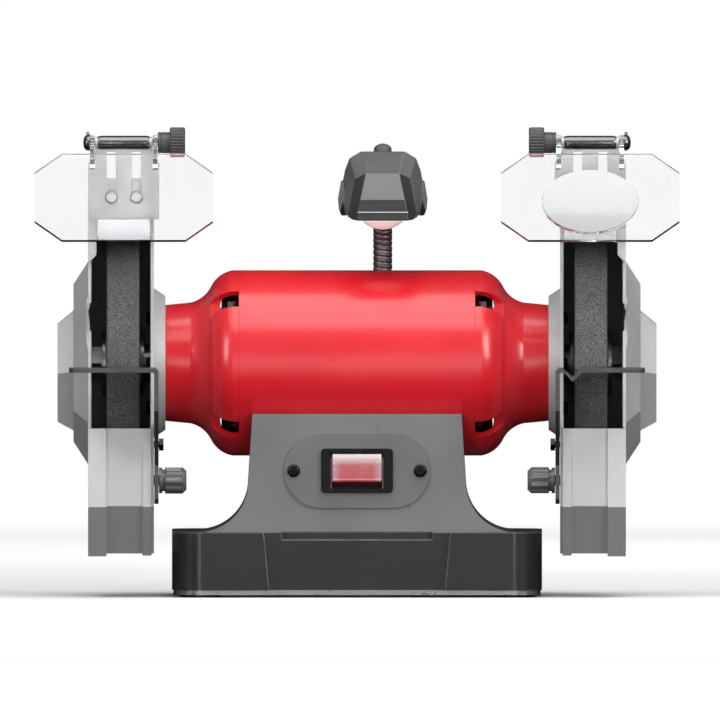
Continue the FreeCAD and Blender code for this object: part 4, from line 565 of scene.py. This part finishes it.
# ---- lamp
# Corners of the hood's right half, from the front lower edge over the top to the back: one row for each
# line that runs front to back, outward from the middle. Distances in mm from the lamp's X, Y 0 and AXIS.
HOOD_COLUMNS = (
    ((14.9, -41.6, 83.5), (13.1, -41.2, 95.5), (9.8, -32.0, 110.9), (12.8, -21.0, 123.6), (11.5, 21.0, 122.2),
     (9.5, 25.6, 104.0), (9.5, 24.8, 86.0)),
    ((17.8, -37.5, 83.9), (19.9, -36.5, 88.3), (16.0, -28.0, 108.0), (19.5, -18.0, 119.6), (17.0, 20.0, 117.8),
     (14.5, 24.8, 101.0), (14.5, 23.8, 86.0)),
    ((20.4, -26.0, 85.6), (21.0, -24.0, 89.5), (23.4, -14.0, 106.6), (22.0, -5.0, 112.8), (20.5, 16.0, 110.0),
     (18.8, 21.8, 98.0), (18.4, 21.2, 86.5)),
    ((20.4, -26.0, 85.6), (20.6, -18.0, 86.0), (21.0, -8.0, 86.2), (21.0, 0.0, 86.3), (20.6, 8.0, 86.4),
     (19.8, 15.0, 86.5), (18.4, 21.2, 86.5)),
)
LAMP_X = JOINTS["lamp_head_tilt"]["pos_m"][0]


def lamp_point(x, y, z):
    return Vector((LAMP_X + x * MM, y * MM, AXIS + z * MM))


def lamp_hood():
    """The faceted hood: panels down the middle, darker bands that slant away from them, leaning sides, with
    painted shade on its down-facing faces and a darker painted shade on its up-facing faces.
    """
    rows = len(HOOD_COLUMNS[0])
    chain = [[(-x, y, z) for x, y, z in column] for column in reversed(HOOD_COLUMNS)]
    chain += [list(column) for column in HOOD_COLUMNS]
    points = [lamp_point(*p) for column in chain for p in column]
    faces = []
    for c in range(len(chain) - 1):
        for i in range(rows - 1):
            quad = [c * rows + i, (c + 1) * rows + i, (c + 1) * rows + i + 1, c * rows + i + 1]
            distinct = [q for n, q in enumerate(quad) if (points[q] - points[quad[n - 1]]).length > 1e-6]
            faces.append(tuple(distinct))
    last = len(chain) - 1
    under = [c * rows for c in range(1, last)] + [last * rows + i for i in range(1, rows - 1)]
    under += [c * rows + rows - 1 for c in range(last - 1, 0, -1)] + list(range(rows - 2, 0, -1))
    faces.append(tuple(under))
    piece = new_piece("lamp_hood_shell", points, faces, [HOOD, HOOD_DARK_AND_SHADE, HOOD_TOP_SHADE], 12.0)
    for face in piece.data.polygons:
        x, y, z = (face.center - lamp_point(0, 0, 0)) / MM
        outer_band = 12.0 < abs(x) < 19.5 and -38.5 < y < -27.5 and 84.5 < z < 106
        skirt = y < -36 and z < 95
        painted_shade_below = face.normal.z < -0.8
        # Down-facing faces take the dark plastic and up-facing faces the darker top plastic, both as painted
        # shade.
        face.material_index = 1 if outer_band or skirt or painted_shade_below else 2 if face.normal.z > 0.62 else 0
    soften(piece, 0.7, 3, 12.0)
    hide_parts("lamp_hood")
    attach(piece, "lamp_head")


def hood_cheek(sign):
    """A side plate on the hood, with a dark notch in its lower edge."""
    side = "right" if sign > 0 else "left"
    plate = [(22.4, 105.2), (23.6, 106.4), (24.4, 105.6), (26.1, 95.5), (25.6, 90.0), (24.3, 86.6),
             (21.2, 86.0), (20.2, 88.2)]
    notch = [(23.2, 94.8), (25.0, 88.4), (24.2, 86.4), (22.6, 86.1), (21.8, 87.0)]
    for name, outline, front, material, width in (
            ("hood_cheek_" + side, plate, -19.0, HOOD, 0.5), ("hood_notch_" + side, notch, -19.5, NOTCH, 0.1)):
        piece = prism(name, outline, lambda p, end: lamp_point(sign * p[0], front + (14.0 - front) * end, p[1]),
                      [material], 20.0)
        soften(piece, width, 2)
        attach(piece, "lamp_head")


def hood_edge_highlight():
    """A painted highlight: a thin bright silver line across the hood's front."""
    outline = [(-14.8, 88.15), (14.8, 88.15), (14.8, 88.75), (-14.8, 88.75)]
    piece = prism("hood_edge_highlight", outline, lambda p, end: lamp_point(p[0], -41.0 - 0.9 * end, p[1]),
                  [SLOT_MATERIALS["cover_silver"]])
    soften(piece, 0.12, 2)
    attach(piece, "lamp_head")


def hood_collar():
    """The swivel collar at the hood's back, which the gooseneck plugs into."""
    profile = [(-9.5, 5.6, 0), (-9.5, 6.4, 0), (-3.2, 6.4, 0), (-3.0, 6.9, 0), (1.6, 6.9, 0), (2.3, 6.4, 0),
               (2.3, 5.7, 0)]
    piece = lathe("hood_collar", joint_at("lamp_head_tilt"), (0, 1, 0), profile, [HOOD_DARK_AND_SHADE], 64)
    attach(piece, "lamp_head")


def lamp_button():
    """The lamp's push button: a low dome with fine grip rings."""
    low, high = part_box("lamp_button")
    centre = (low + high) / 2
    height = (high.z - low.z) / MM
    r = 5.2
    profile = [(0.0, r + 1.4, 0), (1.6, r + 1.4, 0), (1.6, r, 0), (height - 3.4, r, 0)]
    for step in range(6):
        turn = math.radians(14.0 * (step + 1))
        top, across = height - 4.2 + 3.4 * math.sin(turn), r * math.cos(turn)
        profile += [(top - 0.25, across + 0.12, 0), (top - 0.12, across - 0.15, 0), (top, across - 0.1, 0)]
    profile.append((height - 0.7, 0.2, 0))
    piece = lathe("lamp_push_button", (centre.x, centre.y, low.z), (0, 0, 1), profile,
                  [SLOT_MATERIALS["button_grey"]], 64, None, 30.0)
    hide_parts("lamp_button")
    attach(piece, "lamp_switch")


class NeckPath:
    """The gooseneck's centre line: straight up, a quarter turn forward, and into the lamp's collar."""

    def __init__(self):
        low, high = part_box("neck_segment_1")
        self.head = joint_at("lamp_head_tilt")
        self.y = (low.y + high.y) / 2
        self.radius = (high.x - low.x) / 2
        self.bend = 30.0 * MM
        self.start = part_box("neck_socket")[0].z + 3.0 * MM
        self.straight = self.head.z - self.bend - self.start
        self.arc = self.bend * math.pi / 2
        self.tail = self.y - self.bend - self.head.y + 1.0 * MM

    def at_height(self, z):
        return z - self.start

    def length(self):
        return self.straight + self.arc + self.tail

    def frame(self, s):
        """The point at distance s, and the two directions across the line there."""
        side = Vector((1, 0, 0))
        if s <= self.straight:
            return Vector((self.head.x, self.y, self.start + s)), (side, Vector((0, 1, 0)))
        if s <= self.straight + self.arc:
            a = (s - self.straight) / self.bend
            y = self.y - self.bend + self.bend * math.cos(a)
            z = self.start + self.straight + self.bend * math.sin(a)
            return Vector((self.head.x, y, z)), (side, Vector((0, math.cos(a), math.sin(a))))
        y = self.y - self.bend - (s - self.straight - self.arc)
        return Vector((self.head.x, y, self.head.z)), (side, Vector((0, 0, 1)))


def gooseneck():
    """Five ribbed skins in a row along the neck, split between its joints; they are built in place and don't
    follow the joints.
    """
    path = NeckPath()
    pitch, groove, per_turn, turns = 3.4 * MM, 0.5 * MM, 16, 32
    levels = [JOINTS[n]["pos_m"][2] for n in ("neck_bend_1", "neck_side_2", "neck_bend_3", "neck_side_4")]
    stations = [0.0] + [path.at_height((a + b) / 2) for a, b in zip(levels, levels[1:])]
    stations += [path.at_height(levels[-1] + (levels[1] - levels[0]) / 2), path.length()]
    for i, (s0, s1) in enumerate(zip(stations, stations[1:])):
        count = max(2, round((s1 - s0) / pitch * per_turn)) + 1
        lengths = [s0 + (s1 - s0) * k / (count - 1) for k in range(count)]
        frames = [path.frame(s) for s in lengths]

        def radius(k, angle):
            phase = (lengths[k] / pitch + angle / (2 * math.pi)) % 1.0
            return path.radius - groove * math.exp(-((phase - 0.5) / 0.10) ** 2)

        points = rings([f[0] for f in frames], [f[1] for f in frames], radius, turns)
        piece = new_piece("neck_skin_%d" % (i + 1), points, ring_faces(count, turns),
                          [SLOT_MATERIALS["neck_steel"]], 60.0)
        if i < len(levels):
            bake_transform(piece)
        else:
            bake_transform(piece)
        replaced = ["neck_segment_1", "neck_segment_2", "neck_segment_3", "neck_elbow"]
        if i < len(replaced):
            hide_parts(replaced[i])


# ---- switch
def switch_rocker():
    """The rocker: an upper edge with a painted highlight, a long face and a step along the bottom with painted
    shade, both in its material.
    """
    pivot = joint_at("switch_rock")
    swing = Matrix.Rotation(math.radians(ROCKER_LEAN), 3, "X")
    half_x = 14.3
    outline = [(-6.9, -6.2), (-5.2, -9.1), (2.0, -8.8), (2.4, 0.0), (2.0, 8.8), (-4.6, 9.5), (-6.3, 8.9),
               (-6.9, 6.6), (-6.2, 0.6), (-6.5, -5.6)]

    def place(p, end):
        return pivot + swing @ Vector(((end * 2 - 1) * half_x * MM, p[0] * MM, p[1] * MM))

    piece = prism("rocker_cap", outline, place, [SLOT_MATERIALS["rocker_red"]], 20.0)
    soften(piece, 0.5, 3, 20.0)
    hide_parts("switch_rocker")
    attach(piece, "rocker")


def rocker_frame():
    """The pale lip of the switch body on three sides of the rocker."""
    pivot = joint_at("switch_rock")
    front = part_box("switch_housing")[0].y
    outline = [(-15.3, 7.5), (-15.3, -10.9), (15.3, -10.9), (15.3, 7.5), (14.8, 7.5), (14.8, -10.4),
               (-14.8, -10.4), (-14.8, 7.5)]
    piece = prism("rocker_frame", outline,
                  lambda p, end: (pivot.x + p[0] * MM, front + (0.35 + 1.6 * end) * MM, pivot.z + p[1] * MM),
                  [GREY_LIP])
    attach(piece, "frame")


def vent_shade_ring(side, sign):
    """A dark ring inside an end bell, behind the vents: a sheet of painted shade that keeps the vents dark inside.
    """
    profile = [(64.0, 45.6, 0), (79.0, 45.6, 0), (79.0, 44.0, 0), (64.0, 44.0, 0)]
    piece = lathe("vent_shade_ring_" + side, (0, 0, AXIS), (sign, 0, 0), profile + profile[:1],
                  [SLOT_MATERIALS["black_plastic"]], 96, capped=False)
    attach(piece, "frame")


for side, sign in SIDES.items():
    vent_shade_ring(side, sign)
    shield_knob(side, sign)
    shield_bolt(side, sign)
    bracket_barrel(side)
    rest_knob(side, sign)
    hood_cheek(sign)
magnifier()
lamp_hood()
hood_edge_highlight()
hood_collar()
lamp_button()
gooseneck()
switch_rocker()
rocker_frame()


# ---- stage
def pale_floor():
    """A large matt white floor that stays evenly white far behind the grinder."""
    s = Shader("pale_floor")
    s.set(Specular_IOR_Level=0.15, Emission_Color=(1, 1, 1, 1))
    s.to(s.mix(s.noise(0.8, 2.0), (0.84, 0.84, 0.84), (0.88, 0.88, 0.88)), "Base Color")
    s.to(s.remap(s.noise(3.0, 3.0), 0.3, 0.7, 0.6, 0.75), "Roughness")
    away = s.nodes.new("ShaderNodeVectorMath")
    away.operation = "LENGTH"
    s.links.new(s.place, away.inputs[0])
    s.to(s.remap(away.outputs["Value"], 0.35, 2.6, 0.0, 0.79), "Emission Strength")
    corners = [(x * FLOOR_HALF, y * FLOOR_HALF, 0) for x, y in ((-1, -1), (1, -1), (1, 1), (-1, 1))]
    floor = new_piece("floor", corners, [(0, 1, 2, 3)], [s.material])
    floor.visible_diffuse = False
    floor.visible_glossy = False


def softbox(name, place, aim, size, watts, mirrored=True):
    """A rectangular light; one that isn't mirrored lights surfaces without showing as a reflection."""
    light = bpy.data.lights.new(name, "AREA")
    light.shape = "RECTANGLE"
    light.size, light.size_y = size
    light.energy = watts
    lamp = bpy.data.objects.new(name, light)
    lamp.location = place
    lamp.rotation_euler = (Vector(aim) - Vector(place)).to_track_quat("-Z", "Y").to_euler()
    lamp.visible_camera = False
    lamp.visible_glossy = mirrored
    bpy.context.scene.collection.objects.link(lamp)


def studio():
    """A room that is pale above and dark below and behind, with softboxes around and over the grinder."""
    world = bpy.data.worlds.new("studio")
    world.use_nodes = True
    nodes, links = world.node_tree.nodes, world.node_tree.links
    place = nodes.new("ShaderNodeTexCoord").outputs["Generated"]
    split = nodes.new("ShaderNodeSeparateXYZ")
    links.new(place, split.inputs[0])
    ramp = map_range(nodes, -0.35, 0.45, 0.04, 0.36)
    behind = map_range(nodes, 0.0, 0.7, 1.0, 0.12)
    both = nodes.new("ShaderNodeMath")
    both.operation = "MULTIPLY"
    links.new(split.outputs["Z"], ramp.inputs["Value"])
    links.new(split.outputs["Y"], behind.inputs["Value"])
    links.new(ramp.outputs["Result"], both.inputs[0])
    links.new(behind.outputs["Result"], both.inputs[1])
    links.new(both.outputs[0], nodes["Background"].inputs["Strength"])
    nodes["Background"].inputs["Color"].default_value = (1, 1, 1, 1)
    bpy.context.scene.world = world
    middle = (0, 0, AXIS)
    softbox("key_right", (1.15, -1.25, 0.75), middle, (0.5, 0.8), 14)
    softbox("fill_left", (-1.25, -1.15, 0.6), middle, (0.45, 0.7), 7)
    softbox("front_fill", (0.0, -1.8, 0.1), middle, (1.2, 0.5), 12, False)
    softbox("strip_left", (-0.36, -2.0, 0.2), middle, (0.1, 0.5), 2.4)
    softbox("strip_right", (0.36, -2.0, 0.2), middle, (0.1, 0.5), 2.4)
    softbox("top_bank", (0.0, -0.45, 1.3), middle, (1.5, 1.2), 17)
    softbox("rim_back", (0.4, 1.5, 0.9), middle, (1.0, 0.6), 7, False)
    bpy.context.scene.view_settings.view_transform = "Standard"


def camera():
    """An almost level view from the front, from so far away that nothing converges."""
    data = bpy.data.cameras.new("front")
    data.type = "ORTHO"
    data.ortho_scale = 0.4195
    data.clip_end = 80.0
    eye = bpy.data.objects.new("front", data)
    elevation = math.radians(1.0)
    back = Vector((0, -math.cos(elevation), math.sin(elevation)))
    eye.location = Vector((0.00175, 0, 0.1372)) + back * 6.0
    eye.rotation_euler = (-back).to_track_quat("-Z", "Y").to_euler()
    bpy.context.scene.collection.objects.link(eye)
    bpy.context.scene.camera = eye


pale_floor()
studio()
camera()
